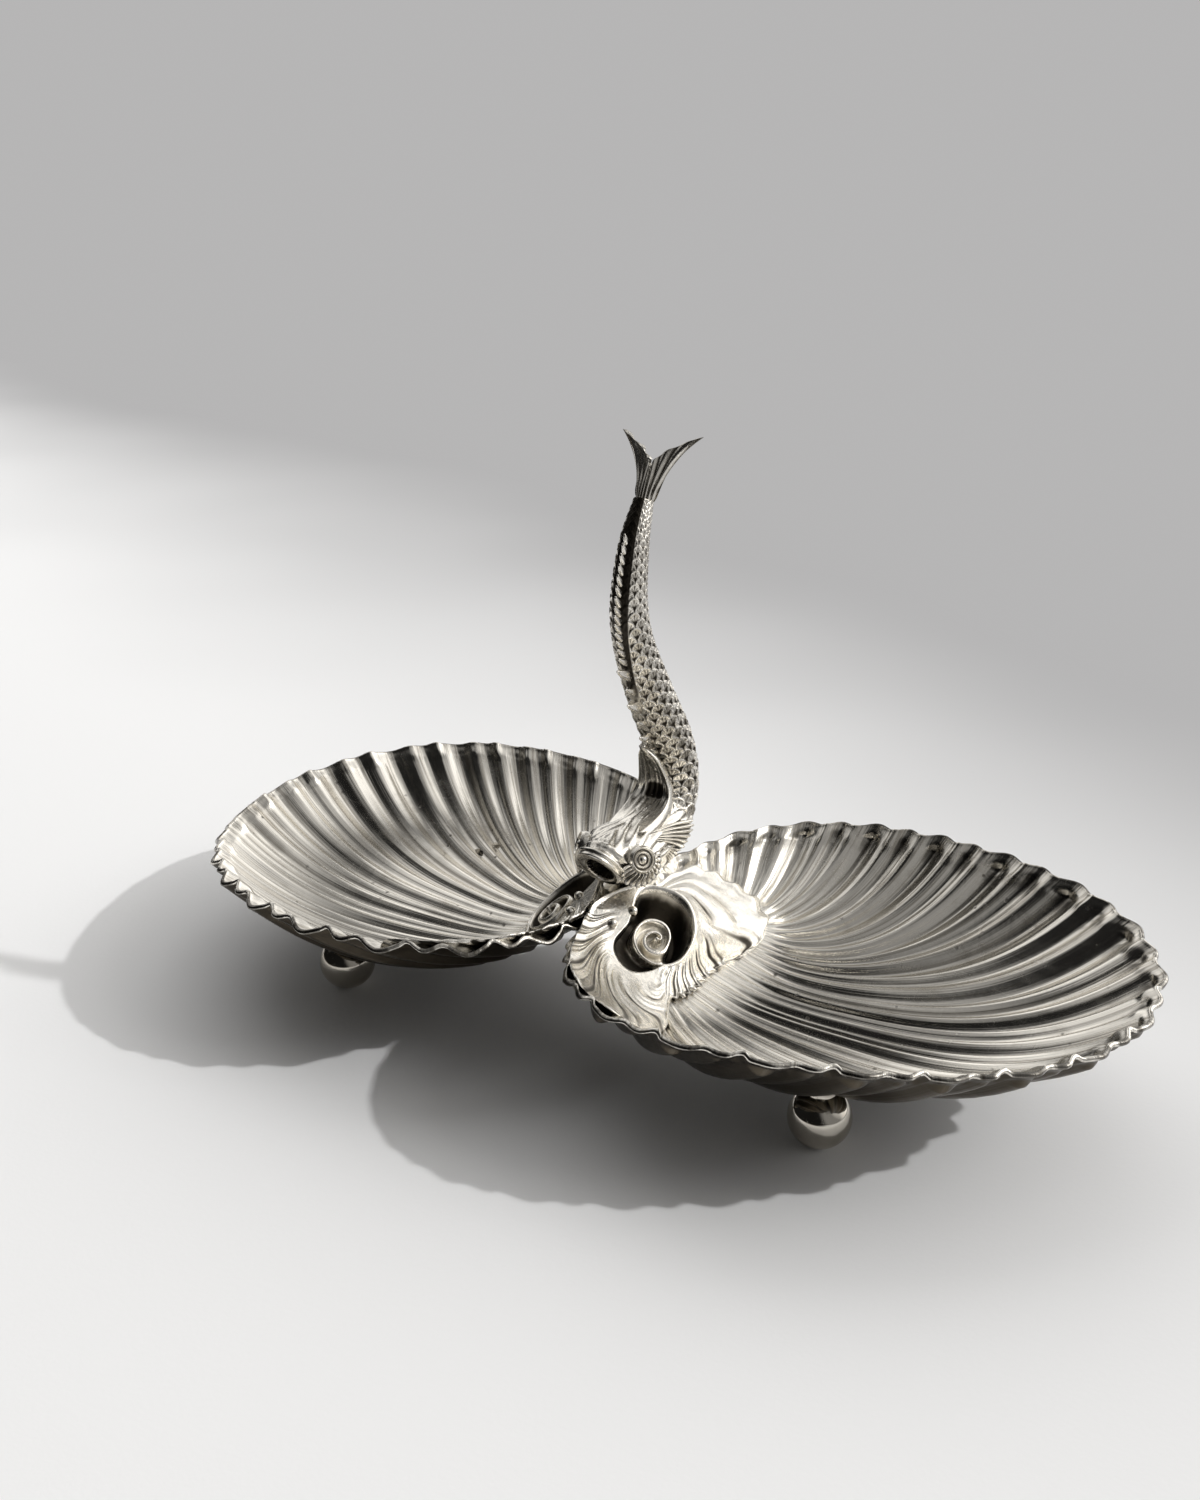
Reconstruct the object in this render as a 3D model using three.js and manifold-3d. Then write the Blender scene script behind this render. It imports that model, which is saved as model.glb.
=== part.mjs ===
// Double shell dish: two fluted shell bowls side by side on ball feet, with a fish standing on its head
// between them as the handle. Millimetres; X across the pair, Y to the back, Z up, floor at Z = 0.

import * as THREE from 'three';
import { mergeVertices } from 'three/addons/utils/BufferGeometryUtils.js';
import Module from 'manifold-3d';

const wasm = await Module();
wasm.setup();

// Fits
const CLEARANCE = 0.3;
const MEETING_GAP = 0.3;

// Bowls: the rim is a circle drawn out towards its outer back, and highest at its front and back
const BOWL_CENTRE_Y = 3;
const RIM_RADIUS = 70.4;
const RIM_OVAL = 3.7;
const RIM_OVAL_TOWARDS = THREE.MathUtils.degToRad(32.6);
const RIM_EGG = 3.2;
const RIM_EGG_TOWARDS = THREE.MathUtils.degToRad(17.4);
const RIM_SQUARE = 1.4;
const RIM_SQUARE_TOWARDS = THREE.MathUtils.degToRad(45);
const RIM_HEIGHT = 40;
const RIM_LEAN = 1.3;
const RIM_LEAN_TOWARDS = THREE.MathUtils.degToRad(114);
const RIM_SADDLE = 3.6;
const RIM_SADDLE_TOWARDS = THREE.MathUtils.degToRad(93.5);
const BOWL_BOTTOM = 13.6;
const BOWL_STEEPNESS = 2.8;
const BOWL_WALL = 1.2;
const MEETING_TRIM = 1.7;

// Flutes: wide and narrow ones by turns, leaving the volute's border and bending out to the rim
const FLUTE_PAIRS = 21;
const WIDE_SHARE = 0.6;
const WIDE_FLUTE_DEPTH = 2.4;
const NARROW_FLUTE_DEPTH = 1.5;
const FLUTE_BEND = 0.4;

// The volute's border, where the flutes start: a point for each sixteenth of the way round the rim, from the
// middle of the outer side to the back, as shares of the rim's radius from where the bowls meet
const BORDER = [
  [0.395, -0.031], [0.403, 0.104], [0.43, 0.232], [0.438, 0.31],
  [0.435, 0.381], [0.398, 0.442], [0.291, 0.476], [0.092, 0.376],
  [0.045, 0.043], [0.071, -0.284], [0.156, -0.369], [0.241, -0.398],
  [0.32, -0.384], [0.381, -0.334], [0.406, -0.256], [0.405, -0.142],
];

// Volutes: a mound inside the border with a raised lip, a hollow and a spiral in it
const VOLUTE_EDGE = 0.8;
const VOLUTE_LIP = 6.5;
const VOLUTE_FLOOR = 1.8;
const VOLUTE_LIP_SHARE = 0.74;
const VOLUTE_FLOOR_SHARE = 0.5;
const VOLUTE_FLANK = 1.5;
const SPIRAL_X = 0.185 * RIM_RADIUS;
const SPIRAL_Y = -0.071 * RIM_RADIUS;
const SPIRAL_START = 1.6;
const SPIRAL_END_X = 6.6;
const SPIRAL_END_Y = 12;
const SPIRAL_TURNS = 2;
const SPIRAL_TUBE = 1.1;

// Feet
const BALL_RADIUS = 8;
const BALL_FLAT = 2;
const BALL_SEAT = 4.4;
const COLLAR_RADIUS = 4.2;
const FOOT_OUT_SHARE = 0.118;
const FOOT_SPREAD_SHARE = 0.493;

// Handle fixing, on the line where the rims meet
const STUD_RADIUS = 2;
const STUD_GRIP = 7;
const STUD_TAIL = 1.5;
const SEAT_HALF_X = 6;
const SEAT_HALF_Y = 11;
const SEAT_THICKNESS = 1.8;
const BRIDGE_HALF_X = 12;
const BRIDGE_HALF_Y = 10;
const BRIDGE_DEPTH = 17;
const BRIDGE_CREST_DROP = 3;
const WASHER_RADIUS = 5.5;
const WASHER_THICKNESS = 1;
const NUT_RADIUS = 4.2;
const NUT_HEIGHT = 3.2;
const NUT_SIDES = 6;

// Fish, as stations from the tail down to the lips: place behind the stud and above the seat and half
// sizes, all as shares of the height of the tail's root
const FISH_HEIGHT = 104.7;
const FISH_STATIONS = [
  { back: 0.048, up: 1, halfWidth: 0.024, halfDepth: 0.027 },
  { back: 0.002, up: 0.895, halfWidth: 0.036, halfDepth: 0.04 },
  { back: -0.02, up: 0.752, halfWidth: 0.045, halfDepth: 0.049 },
  { back: 0.008, up: 0.634, halfWidth: 0.05, halfDepth: 0.053 },
  { back: 0.095, up: 0.475, halfWidth: 0.058, halfDepth: 0.062 },
  { back: 0.194, up: 0.312, halfWidth: 0.065, halfDepth: 0.065 },
  { back: 0.207, up: 0.187, halfWidth: 0.073, halfDepth: 0.071 },
  { back: 0.138, up: 0.107, halfWidth: 0.082, halfDepth: 0.082 },
  { back: 0.029, up: 0.08, halfWidth: 0.086, halfDepth: 0.086 },
  { back: -0.072, up: 0.086, halfWidth: 0.078, halfDepth: 0.076 },
  { back: -0.134, up: 0.094, halfWidth: 0.071, halfDepth: 0.065 },
  { back: -0.177, up: 0.099, halfWidth: 0.065, halfDepth: 0.059 },
];
const MOUTH_LIP = 1.6;
const MOUTH_DEPTH = 7;
const TAIL_LENGTH = 18;
const TAIL_HALF_SPAN = 12;
const TAIL_NOTCH = 4;
const TAIL_LOBE = 5;
const TAIL_ROOT = 2.4;
const TAIL_THICKNESS = 1.8;
const CREST_FOOT = { back: -3, up: 15.5 };
const CREST_TIP = { back: 8.2, up: 36 };
const CREST_BOW = 3;
const CREST_HALF_WIDTH = 4.8;
const CREST_THICKNESS = 2.4;
const CREST_POINT = 0.15;
const COMB_START = 0.14;
const COMB_END = 0.5;
const COMB_SPIKES = 12;
const COMB_HEIGHT = 3;
const COMB_ROOT = 1.2;
const COMB_THICKNESS = 1.8;
const GILL_BACK = 9.5;
const GILL_UP = 12.5;
const GILL_HALF_LENGTH = 9;
const GILL_HALF_HEIGHT = 6.5;
const GILL_LOBES = 9;
const GILL_LOBE_DEPTH = 0.6;
const GILL_INSET = 2.6;
const GILL_STAND = 1;

// Facets
const FLUTE_STEPS = [0, 1 / 3, 2 / 3];
const NARROW_STEPS = [0, 1 / 2];
const HUB_RINGS = [0.5, 1];
const BOWL_RINGS = [0.22, 0.45, 0.66, 0.84, 1];
const VOLUTE_RINGS = [0.2, 0.4, 0.52, 0.63, VOLUTE_LIP_SHARE, 0.84, 0.93, 1];
const ROUND_SIDES = 18;
const FISH_SIDES = 20;
const FISH_STEPS = 26;

// Colours
const BRIGHT_SILVER = { color: 0xcfccc4, roughness: 0.16, metalness: 1 };
const CAST_SILVER = { color: 0xbdb8ac, roughness: 0.3, metalness: 1 };
const PLAIN_STEEL = { color: 0x9a9a98, roughness: 0.4, metalness: 1 };

// Closed skins and joins

function signedVolume(points, index) {
  let volume = 0;
  for (let i = 0; i < index.length; i += 3) {
    const [a, b, c] = [points[index[i]], points[index[i + 1]], points[index[i + 2]]];
    volume += a.dot(b.clone().cross(c)) / 6;
  }
  return volume;
}

function skin(points, index) {
  if (signedVolume(points, index) < 0) index.reverse();
  const geometry = new THREE.BufferGeometry().setFromPoints(points);
  geometry.setIndex(index);
  return geometry;
}

function middleOf(ring) {
  const middle = new THREE.Vector3();
  for (const point of ring) middle.add(point);
  return middle.divideScalar(ring.length);
}

// One closed skin through rings of equal count, with a fan of triangles over each end
function loft(rings) {
  const count = rings[0].length;
  const last = (rings.length - 1) * count;
  const points = [...rings.flat(), middleOf(rings[0]), middleOf(rings.at(-1))];
  const [firstMiddle, lastMiddle] = [points.length - 2, points.length - 1];
  const index = [];
  for (let i = 0; i < count; i += 1) {
    const next = (i + 1) % count;
    for (let ring = 0; ring < last; ring += count) {
      index.push(ring + i, ring + next, ring + count + next);
      index.push(ring + i, ring + count + next, ring + count + i);
    }
    index.push(firstMiddle, next, i);
    index.push(lastMiddle, last + i, last + next);
  }
  return skin(points, index);
}

function solidOf(geometry) {
  const bare = geometry.clone();
  bare.deleteAttribute('normal');
  bare.deleteAttribute('uv');
  const merged = mergeVertices(bare);
  return new wasm.Manifold(new wasm.Mesh({
    numProp: 3,
    vertProperties: new Float32Array(merged.attributes.position.array),
    triVerts: new Uint32Array(merged.index.array),
  }));
}

function geometryOf(solid) {
  const { vertProperties, triVerts } = solid.getMesh();
  const geometry = new THREE.BufferGeometry();
  geometry.setAttribute('position', new THREE.BufferAttribute(new Float32Array(vertProperties), 3));
  geometry.setIndex(new THREE.BufferAttribute(new Uint32Array(triVerts), 1));
  return geometry;
}

function cut(geometry, ...tools) {
  let solid = solidOf(geometry);
  for (const tool of tools) solid = solid.subtract(solidOf(tool));
  return geometryOf(solid);
}

function join(geometry, ...others) {
  let solid = solidOf(geometry);
  for (const other of others) solid = solid.add(solidOf(other));
  return geometryOf(solid);
}

function mirrored(geometry) {
  const copy = geometry.clone();
  const position = copy.attributes.position;
  for (let i = 0; i < position.count; i += 1) position.setX(i, -position.getX(i));
  copy.setIndex([...geometry.index.array].reverse());
  return copy;
}

function upright(radius, bottom, top, x, y, sides = ROUND_SIDES) {
  const post = new THREE.CylinderGeometry(radius, radius, top - bottom, sides);
  post.rotateX(Math.PI / 2);
  return post.translate(x, y, (bottom + top) / 2);
}

// Bowl surface, for the right-hand bowl

const wave = (size, count, angle, towards) => size * Math.cos(count * (angle - towards));

function rimRadius(angle) {
  return RIM_RADIUS + wave(RIM_OVAL, 2, angle, RIM_OVAL_TOWARDS) + wave(RIM_EGG, 3, angle, RIM_EGG_TOWARDS)
    + wave(RIM_SQUARE, 4, angle, RIM_SQUARE_TOWARDS);
}

// The rims would overlap by the trim, and are dressed flat where they meet
const BOWL_CENTRE_X = rimRadius(Math.PI) - MEETING_TRIM;

function rimHeight(angle) {
  return RIM_HEIGHT + wave(RIM_LEAN, 1, angle, RIM_LEAN_TOWARDS)
    + wave(RIM_SADDLE, 2, angle, RIM_SADDLE_TOWARDS);
}

function bowlHeight(x, y) {
  const angle = Math.atan2(y - BOWL_CENTRE_Y, x - BOWL_CENTRE_X);
  const share = Math.hypot(x - BOWL_CENTRE_X, y - BOWL_CENTRE_Y) / rimRadius(angle);
  return BOWL_BOTTOM + (rimHeight(angle) - BOWL_BOTTOM) * share ** BOWL_STEEPNESS;
}

function bowlNormal(x, y) {
  const step = 0.5;
  const slopeX = (bowlHeight(x + step, y) - bowlHeight(x - step, y)) / (2 * step);
  const slopeY = (bowlHeight(x, y + step) - bowlHeight(x, y - step)) / (2 * step);
  return new THREE.Vector3(-slopeX, -slopeY, 1).normalize();
}

const borderCurve = new THREE.CatmullRomCurve3(
  BORDER.map(([x, y]) => new THREE.Vector3(x, y, 0).multiplyScalar(RIM_RADIUS)),
  true,
  'catmullrom',
);

function hubPlan(angle, share) {
  const border = borderCurve.getPoint(angle / (2 * Math.PI));
  return new THREE.Vector2(SPIRAL_X, SPIRAL_Y).lerp(border, share);
}

function rimPlan(angle) {
  const plan = new THREE.Vector2(Math.cos(angle), Math.sin(angle)).multiplyScalar(rimRadius(angle));
  return plan.add(new THREE.Vector2(BOWL_CENTRE_X, BOWL_CENTRE_Y));
}

// A flute leaves the border partly square to it, and then bends towards its place on the rim
function flutePlan(angle, reach) {
  const [root, tip] = [hubPlan(angle, 1), rimPlan(angle)];
  const tangent = borderCurve.getTangent(angle / (2 * Math.PI));
  const square = new THREE.Vector2(tangent.y, -tangent.x).multiplyScalar(root.distanceTo(tip) / 2).add(root);
  const middle = root.clone().lerp(tip, 0.5).lerp(square, FLUTE_BEND);
  return new THREE.QuadraticBezierCurve(root, middle, tip).getPoint(reach);
}

function fluteDepth(turn) {
  const share = turn % 1;
  if (share < WIDE_SHARE) return WIDE_FLUTE_DEPTH * Math.sin(Math.PI * share / WIDE_SHARE);
  return NARROW_FLUTE_DEPTH * Math.sin(Math.PI * (share - WIDE_SHARE) / (1 - WIDE_SHARE));
}

function fluteTurns() {
  const turns = [];
  for (let pair = 0; pair < FLUTE_PAIRS; pair += 1) {
    for (const step of FLUTE_STEPS) turns.push(pair + WIDE_SHARE * step);
    for (const step of NARROW_STEPS) turns.push(pair + WIDE_SHARE + (1 - WIDE_SHARE) * step);
  }
  return turns;
}

const TURNS = fluteTurns();
const RIDGE_TURNS = TURNS.filter((turn) => fluteDepth(turn) < CLEARANCE);
const turnAngle = (turn) => 2 * Math.PI * turn / FLUTE_PAIRS;

// A point of the bowl sunk below its ridges, kept on its own side of the plane where the bowls meet
function sunkPoint(plan, sink) {
  const point = new THREE.Vector3(plan.x, plan.y, bowlHeight(plan.x, plan.y));
  point.addScaledVector(bowlNormal(plan.x, plan.y), -sink);
  point.x = Math.max(point.x, MEETING_GAP / 2);
  return point;
}

function hubRing(share, sink, turns = TURNS) {
  return turns.map((turn) => sunkPoint(hubPlan(turnAngle(turn), share), sink));
}

function bowlRing(reach, sink) {
  return TURNS.map((turn) => {
    const plan = flutePlan(turnAngle(turn), reach);
    return sunkPoint(plan, sink + fluteDepth(turn) * reach);
  });
}

function bowlRings(sink) {
  const hub = HUB_RINGS.map((share) => hubRing(share, sink));
  return [...hub, ...BOWL_RINGS.map((reach) => bowlRing(reach, sink))];
}

// Everything from a clearance beneath the bowl upwards, for shaping what seats under it
function spaceAboveUnderside() {
  const top = RIM_HEIGHT + RIM_LEAN + RIM_SADDLE + CLEARANCE;
  const rings = bowlRings(BOWL_WALL + CLEARANCE);
  return loft([...rings, rings.at(-1).map((point) => new THREE.Vector3(point.x, point.y, top))]);
}

// Where the rims meet, on the stud's line
const MEETING_Y = BOWL_CENTRE_Y;
const MEETING_Z = bowlHeight(0, MEETING_Y);
const SEAT_ARC = Math.asin((SEAT_HALF_Y + CLEARANCE) / RIM_RADIUS);
const SEAT_BOTTOM = Math.max(rimHeight(Math.PI - SEAT_ARC), rimHeight(Math.PI + SEAT_ARC)) + CLEARANCE;
const SEAT_TOP = SEAT_BOTTOM + SEAT_THICKNESS;
const FISH_BOTTOM = SEAT_TOP + CLEARANCE;
const BRIDGE_BOTTOM = MEETING_Z - BRIDGE_DEPTH;
const WASHER_TOP = BRIDGE_BOTTOM - CLEARANCE;
const NUT_TOP = WASHER_TOP - WASHER_THICKNESS - CLEARANCE;
const STUD_BOTTOM = NUT_TOP - NUT_HEIGHT - STUD_TAIL;
const STUD_TOP = FISH_BOTTOM + STUD_GRIP;
const STUD_HOLE = upright(STUD_RADIUS + CLEARANCE, STUD_BOTTOM, STUD_TOP + CLEARANCE, 0, MEETING_Y);
const UNDERSIDE = spaceAboveUnderside();

function bowl() {
  const rings = [...bowlRings(0), ...bowlRings(BOWL_WALL).reverse()];
  return cut(loft(rings), STUD_HOLE);
}

// Volute

function voluteHeight(share) {
  if (share > VOLUTE_LIP_SHARE) {
    const fall = (share - VOLUTE_LIP_SHARE) / (1 - VOLUTE_LIP_SHARE);
    return THREE.MathUtils.lerp(VOLUTE_LIP, VOLUTE_EDGE, fall ** VOLUTE_FLANK);
  }
  const climb = THREE.MathUtils.smoothstep(share, VOLUTE_FLOOR_SHARE, VOLUTE_LIP_SHARE);
  return THREE.MathUtils.lerp(VOLUTE_FLOOR, VOLUTE_LIP, climb);
}

function voluteTop(angle, share) {
  const plan = hubPlan(angle, share);
  const height = bowlHeight(plan.x, plan.y) + CLEARANCE + voluteHeight(share);
  return new THREE.Vector3(plan.x, plan.y, height);
}

function voluteMound() {
  const top = VOLUTE_RINGS.map((share) => RIDGE_TURNS.map((turn) => voluteTop(turnAngle(turn), share)));
  const bottom = HUB_RINGS.map((share) => hubRing(share, -CLEARANCE, RIDGE_TURNS)).reverse();
  return loft([...top, ...bottom]);
}

function spiralTube() {
  const steps = 36;
  const sides = 6;
  const rings = [];
  for (let step = 0; step <= steps; step += 1) {
    const share = step / steps;
    const angle = 2 * Math.PI * SPIRAL_TURNS * share;
    const x = SPIRAL_X + THREE.MathUtils.lerp(SPIRAL_START, SPIRAL_END_X, share) * Math.cos(angle);
    const y = SPIRAL_Y + THREE.MathUtils.lerp(SPIRAL_START, SPIRAL_END_Y, share) * Math.sin(angle);
    const z = bowlHeight(x, y) + CLEARANCE + VOLUTE_FLOOR;
    const away = new THREE.Vector3(Math.cos(angle), Math.sin(angle), 0);
    rings.push(Array.from({ length: sides }, (_, side) => {
      const turn = 2 * Math.PI * side / sides;
      const point = new THREE.Vector3(x, y, z + SPIRAL_TUBE * Math.sin(turn));
      return point.addScaledVector(away, SPIRAL_TUBE * Math.cos(turn));
    }));
  }
  return loft(rings);
}

// Feet

function ballFoot() {
  const radiusAt = (flat) => Math.asin(flat / BALL_RADIUS);
  const [from, to] = [radiusAt(BALL_FLAT), Math.PI - radiusAt(BALL_SEAT)];
  const steps = 9;
  const profile = [new THREE.Vector2(0, -BALL_RADIUS * Math.cos(from))];
  for (let step = 0; step <= steps; step += 1) {
    const angle = from + (to - from) * step / steps;
    profile.push(new THREE.Vector2(BALL_RADIUS * Math.sin(angle), -BALL_RADIUS * Math.cos(angle)));
  }
  profile.push(new THREE.Vector2(0, -BALL_RADIUS * Math.cos(to)));
  const ball = new THREE.LatheGeometry(profile, ROUND_SIDES);
  ball.rotateX(Math.PI / 2);
  return geometryOf(solidOf(ball));
}

const BALL_CENTRE_Z = Math.sqrt(BALL_RADIUS ** 2 - BALL_FLAT ** 2);
const BALL_TOP_Z = BALL_CENTRE_Z + Math.sqrt(BALL_RADIUS ** 2 - BALL_SEAT ** 2);
const FOOT_X = BOWL_CENTRE_X + FOOT_OUT_SHARE * RIM_RADIUS;
const FOOT_SPREAD_Y = FOOT_SPREAD_SHARE * RIM_RADIUS;

function footCollar(y) {
  const post = upright(COLLAR_RADIUS, BALL_TOP_Z + CLEARANCE, bowlHeight(FOOT_X, y), FOOT_X, y);
  return cut(post, UNDERSIDE);
}

// Handle fixing

function seatPad(grow) {
  const pad = upright(1, SEAT_BOTTOM - grow, SEAT_TOP + grow, 0, 0);
  pad.scale(SEAT_HALF_X + grow, SEAT_HALF_Y + grow, 1);
  return pad.translate(0, MEETING_Y, 0);
}

const fishSeat = () => cut(seatPad(0), STUD_HOLE);

function bridgeBlock() {
  const top = MEETING_Z - BRIDGE_CREST_DROP;
  const block = new THREE.BoxGeometry(2 * BRIDGE_HALF_X, 2 * BRIDGE_HALF_Y, top - BRIDGE_BOTTOM);
  block.translate(0, MEETING_Y, (top + BRIDGE_BOTTOM) / 2);
  return cut(block, UNDERSIDE, mirrored(UNDERSIDE), STUD_HOLE);
}

const onStud = (radius, bottom, top, sides) => upright(radius, bottom, top, 0, MEETING_Y, sides);
const handleStud = () => onStud(STUD_RADIUS, STUD_BOTTOM, STUD_TOP);
const studWasher = () => cut(onStud(WASHER_RADIUS, WASHER_TOP - WASHER_THICKNESS, WASHER_TOP), STUD_HOLE);
const studNut = () => cut(onStud(NUT_RADIUS, NUT_TOP - NUT_HEIGHT, NUT_TOP, NUT_SIDES), STUD_HOLE);

// Fish, in the plane between the bowls

const inPlane = ({ back, up }) => new THREE.Vector3(0, MEETING_Y + back, FISH_BOTTOM + up);
const stationPlace = ({ back, up }) => inPlane({ back: FISH_HEIGHT * back, up: FISH_HEIGHT * up });
const fishPath = new THREE.CatmullRomCurve3(FISH_STATIONS.map(stationPlace), false, 'centripetal');

function fishSize(share, key) {
  const place = share * (FISH_STATIONS.length - 1);
  const station = Math.min(Math.floor(place), FISH_STATIONS.length - 2);
  const blend = THREE.MathUtils.smoothstep(place - station, 0, 1);
  const [before, after] = [FISH_STATIONS[station][key], FISH_STATIONS[station + 1][key]];
  return FISH_HEIGHT * THREE.MathUtils.lerp(before, after, blend);
}

// Unit vector across the body in the plane, from the back edge to the front edge
function fishAcross(share) {
  const along = fishPath.getTangent(share);
  return new THREE.Vector3(0, along.z, -along.y);
}

// An oval round a point of the plane, wide along X and deep across the path there
function ovalRing(middle, across, halfWidth, halfDepth, sides) {
  return Array.from({ length: sides }, (_, side) => {
    const turn = 2 * Math.PI * side / sides;
    const point = middle.clone().addScaledVector(across, halfDepth * Math.sin(turn));
    point.x += halfWidth * Math.cos(turn);
    return point;
  });
}

function fishRing(share, grow, shift = 0) {
  const middle = fishPath.getPoint(share).addScaledVector(fishPath.getTangent(share), shift);
  const halfDepth = fishSize(share, 'halfDepth') + grow;
  const halfWidth = fishSize(share, 'halfWidth') + grow;
  return ovalRing(middle, fishAcross(share), halfWidth, halfDepth, FISH_SIDES);
}

function fishSkin(grow) {
  return Array.from({ length: FISH_STEPS + 1 }, (_, step) => fishRing(step / FISH_STEPS, grow));
}

const FISH_SPACE = loft(fishSkin(CLEARANCE));

function belowFish(drop) {
  const size = 2 * RIM_RADIUS;
  const block = new THREE.BoxGeometry(size, size, size);
  return block.translate(0, 0, FISH_BOTTOM - drop - size / 2);
}

function fishBody() {
  const mouth = [fishRing(1, -MOUTH_LIP), fishRing(1, -2 * MOUTH_LIP, -MOUTH_DEPTH)];
  return cut(loft([...fishSkin(0), ...mouth]), belowFish(0), STUD_HOLE);
}

function fishTail() {
  const outline = new THREE.Shape();
  const tip = new THREE.Vector2(TAIL_HALF_SPAN, TAIL_LENGTH);
  outline.moveTo(-TAIL_ROOT, 0);
  outline.lineTo(TAIL_ROOT, 0);
  outline.quadraticCurveTo(TAIL_ROOT, tip.y - TAIL_LOBE, tip.x, tip.y);
  outline.quadraticCurveTo(0, tip.y, 0, TAIL_NOTCH);
  outline.quadraticCurveTo(0, tip.y, -tip.x, tip.y);
  outline.quadraticCurveTo(-TAIL_ROOT, tip.y - TAIL_LOBE, -TAIL_ROOT, 0);
  const plate = { depth: TAIL_THICKNESS, bevelEnabled: false, curveSegments: 6 };
  const fin = new THREE.ExtrudeGeometry(outline, plate);
  const along = fishPath.getTangent(0).negate();
  const root = fishPath.getPoint(0).addScaledVector(along, CLEARANCE);
  const sideways = new THREE.Vector3(1, 0, 0);
  const turned = new THREE.Matrix4().makeBasis(sideways, along, sideways.clone().cross(along));
  fin.translate(0, 0, -TAIL_THICKNESS / 2);
  fin.applyMatrix4(turned.setPosition(root));
  return geometryOf(solidOf(fin));
}

function fishCrest() {
  const [foot, tip] = [inPlane(CREST_FOOT), inPlane(CREST_TIP)];
  const bow = foot.clone().lerp(tip, 0.5).add(new THREE.Vector3(0, CREST_BOW, -CREST_BOW));
  const curve = new THREE.QuadraticBezierCurve3(foot, bow, tip);
  const steps = 8;
  const sides = 12;
  const rings = Array.from({ length: steps + 1 }, (_, step) => {
    const share = step / steps;
    const swell = CREST_POINT + (1 - CREST_POINT) * Math.sqrt(1 - share ** 2);
    const along = curve.getTangent(share);
    const across = new THREE.Vector3(0, along.z, -along.y);
    const half = swell * CREST_THICKNESS / 2;
    return ovalRing(curve.getPoint(share), across, swell * CREST_HALF_WIDTH, half, sides);
  });
  return cut(loft(rings), FISH_SPACE);
}

function fishDorsalComb() {
  const steps = 2 * COMB_SPIKES;
  const edge = (height) => (_, step) => {
    const share = THREE.MathUtils.lerp(COMB_START, COMB_END, step / steps);
    const point = fishPath.getPoint(share);
    return point.addScaledVector(fishAcross(share), fishSize(share, 'halfDepth') + height(step));
  };
  const outer = Array.from({ length: steps + 1 }, edge((step) => (step % 2 ? COMB_HEIGHT : COMB_ROOT)));
  const inner = Array.from({ length: steps + 1 }, edge(() => -COMB_ROOT)).reverse();
  const outline = new THREE.Shape([...outer, ...inner].map((point) => new THREE.Vector2(point.y, point.z)));
  return cut(standing(outline, -COMB_THICKNESS / 2, COMB_THICKNESS), FISH_SPACE);
}

// A plate with its outline in the plane between the bowls, thick along X
function standing(outline, from, thickness) {
  const plate = new THREE.ExtrudeGeometry(outline, { depth: thickness, bevelEnabled: false });
  plate.translate(0, 0, from);
  const [x, y, z] = [new THREE.Vector3(1, 0, 0), new THREE.Vector3(0, 1, 0), new THREE.Vector3(0, 0, 1)];
  return plate.applyMatrix4(new THREE.Matrix4().makeBasis(y, z, x));
}

function fishGill() {
  const steps = 4 * GILL_LOBES;
  const middle = inPlane({ back: GILL_BACK, up: GILL_UP });
  const outline = Array.from({ length: steps }, (_, step) => {
    const turn = 2 * Math.PI * step / steps;
    const swell = 1 - GILL_LOBE_DEPTH / GILL_HALF_HEIGHT * (1 + Math.cos(GILL_LOBES * turn)) / 2;
    const y = middle.y + GILL_HALF_LENGTH * swell * Math.cos(turn);
    return new THREE.Vector2(y, middle.z + GILL_HALF_HEIGHT * swell * Math.sin(turn));
  });
  const headHalfWidth = FISH_HEIGHT * Math.max(...FISH_STATIONS.map((station) => station.halfWidth));
  const plate = standing(new THREE.Shape(outline), headHalfWidth - GILL_INSET, GILL_INSET + GILL_STAND);
  return cut(plate, FISH_SPACE);
}

// The volute leans in under the fish, so it is dressed away there
function volute() {
  return cut(join(voluteMound(), spiralTube()), seatPad(CLEARANCE), cut(FISH_SPACE, belowFish(CLEARANCE)));
}

// Assembly

function piece(name, geometry, look) {
  geometry.computeVertexNormals();
  const mesh = new THREE.Mesh(geometry, new THREE.MeshStandardMaterial(look));
  mesh.name = name;
  return mesh;
}

function pair(name, geometry, look) {
  return [piece(`right_${name}`, geometry, look), piece(`left_${name}`, mirrored(geometry), look)];
}

function shells() {
  const group = new THREE.Group();
  group.add(...pair('shell', bowl(), BRIGHT_SILVER));
  group.add(...pair('volute', volute(), CAST_SILVER));
  return group;
}

function feet() {
  const group = new THREE.Group();
  const rows = { front: BOWL_CENTRE_Y - FOOT_SPREAD_Y, back: BOWL_CENTRE_Y + FOOT_SPREAD_Y };
  for (const [row, y] of Object.entries(rows)) {
    group.add(...pair(`${row}_collar`, footCollar(y), BRIGHT_SILVER));
    for (const [side, x] of Object.entries({ right: FOOT_X, left: -FOOT_X })) {
      const ball = piece(`${side}_${row}_ball`, ballFoot(), BRIGHT_SILVER);
      ball.position.set(x, y, BALL_CENTRE_Z);
      group.add(ball);
    }
  }
  return group;
}

function fixing() {
  const group = new THREE.Group();
  group.add(piece('fish_seat', fishSeat(), CAST_SILVER));
  group.add(piece('bridge_block', bridgeBlock(), CAST_SILVER));
  group.add(piece('handle_stud', handleStud(), PLAIN_STEEL));
  group.add(piece('stud_washer', studWasher(), PLAIN_STEEL));
  group.add(piece('stud_nut', studNut(), PLAIN_STEEL));
  return group;
}

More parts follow.
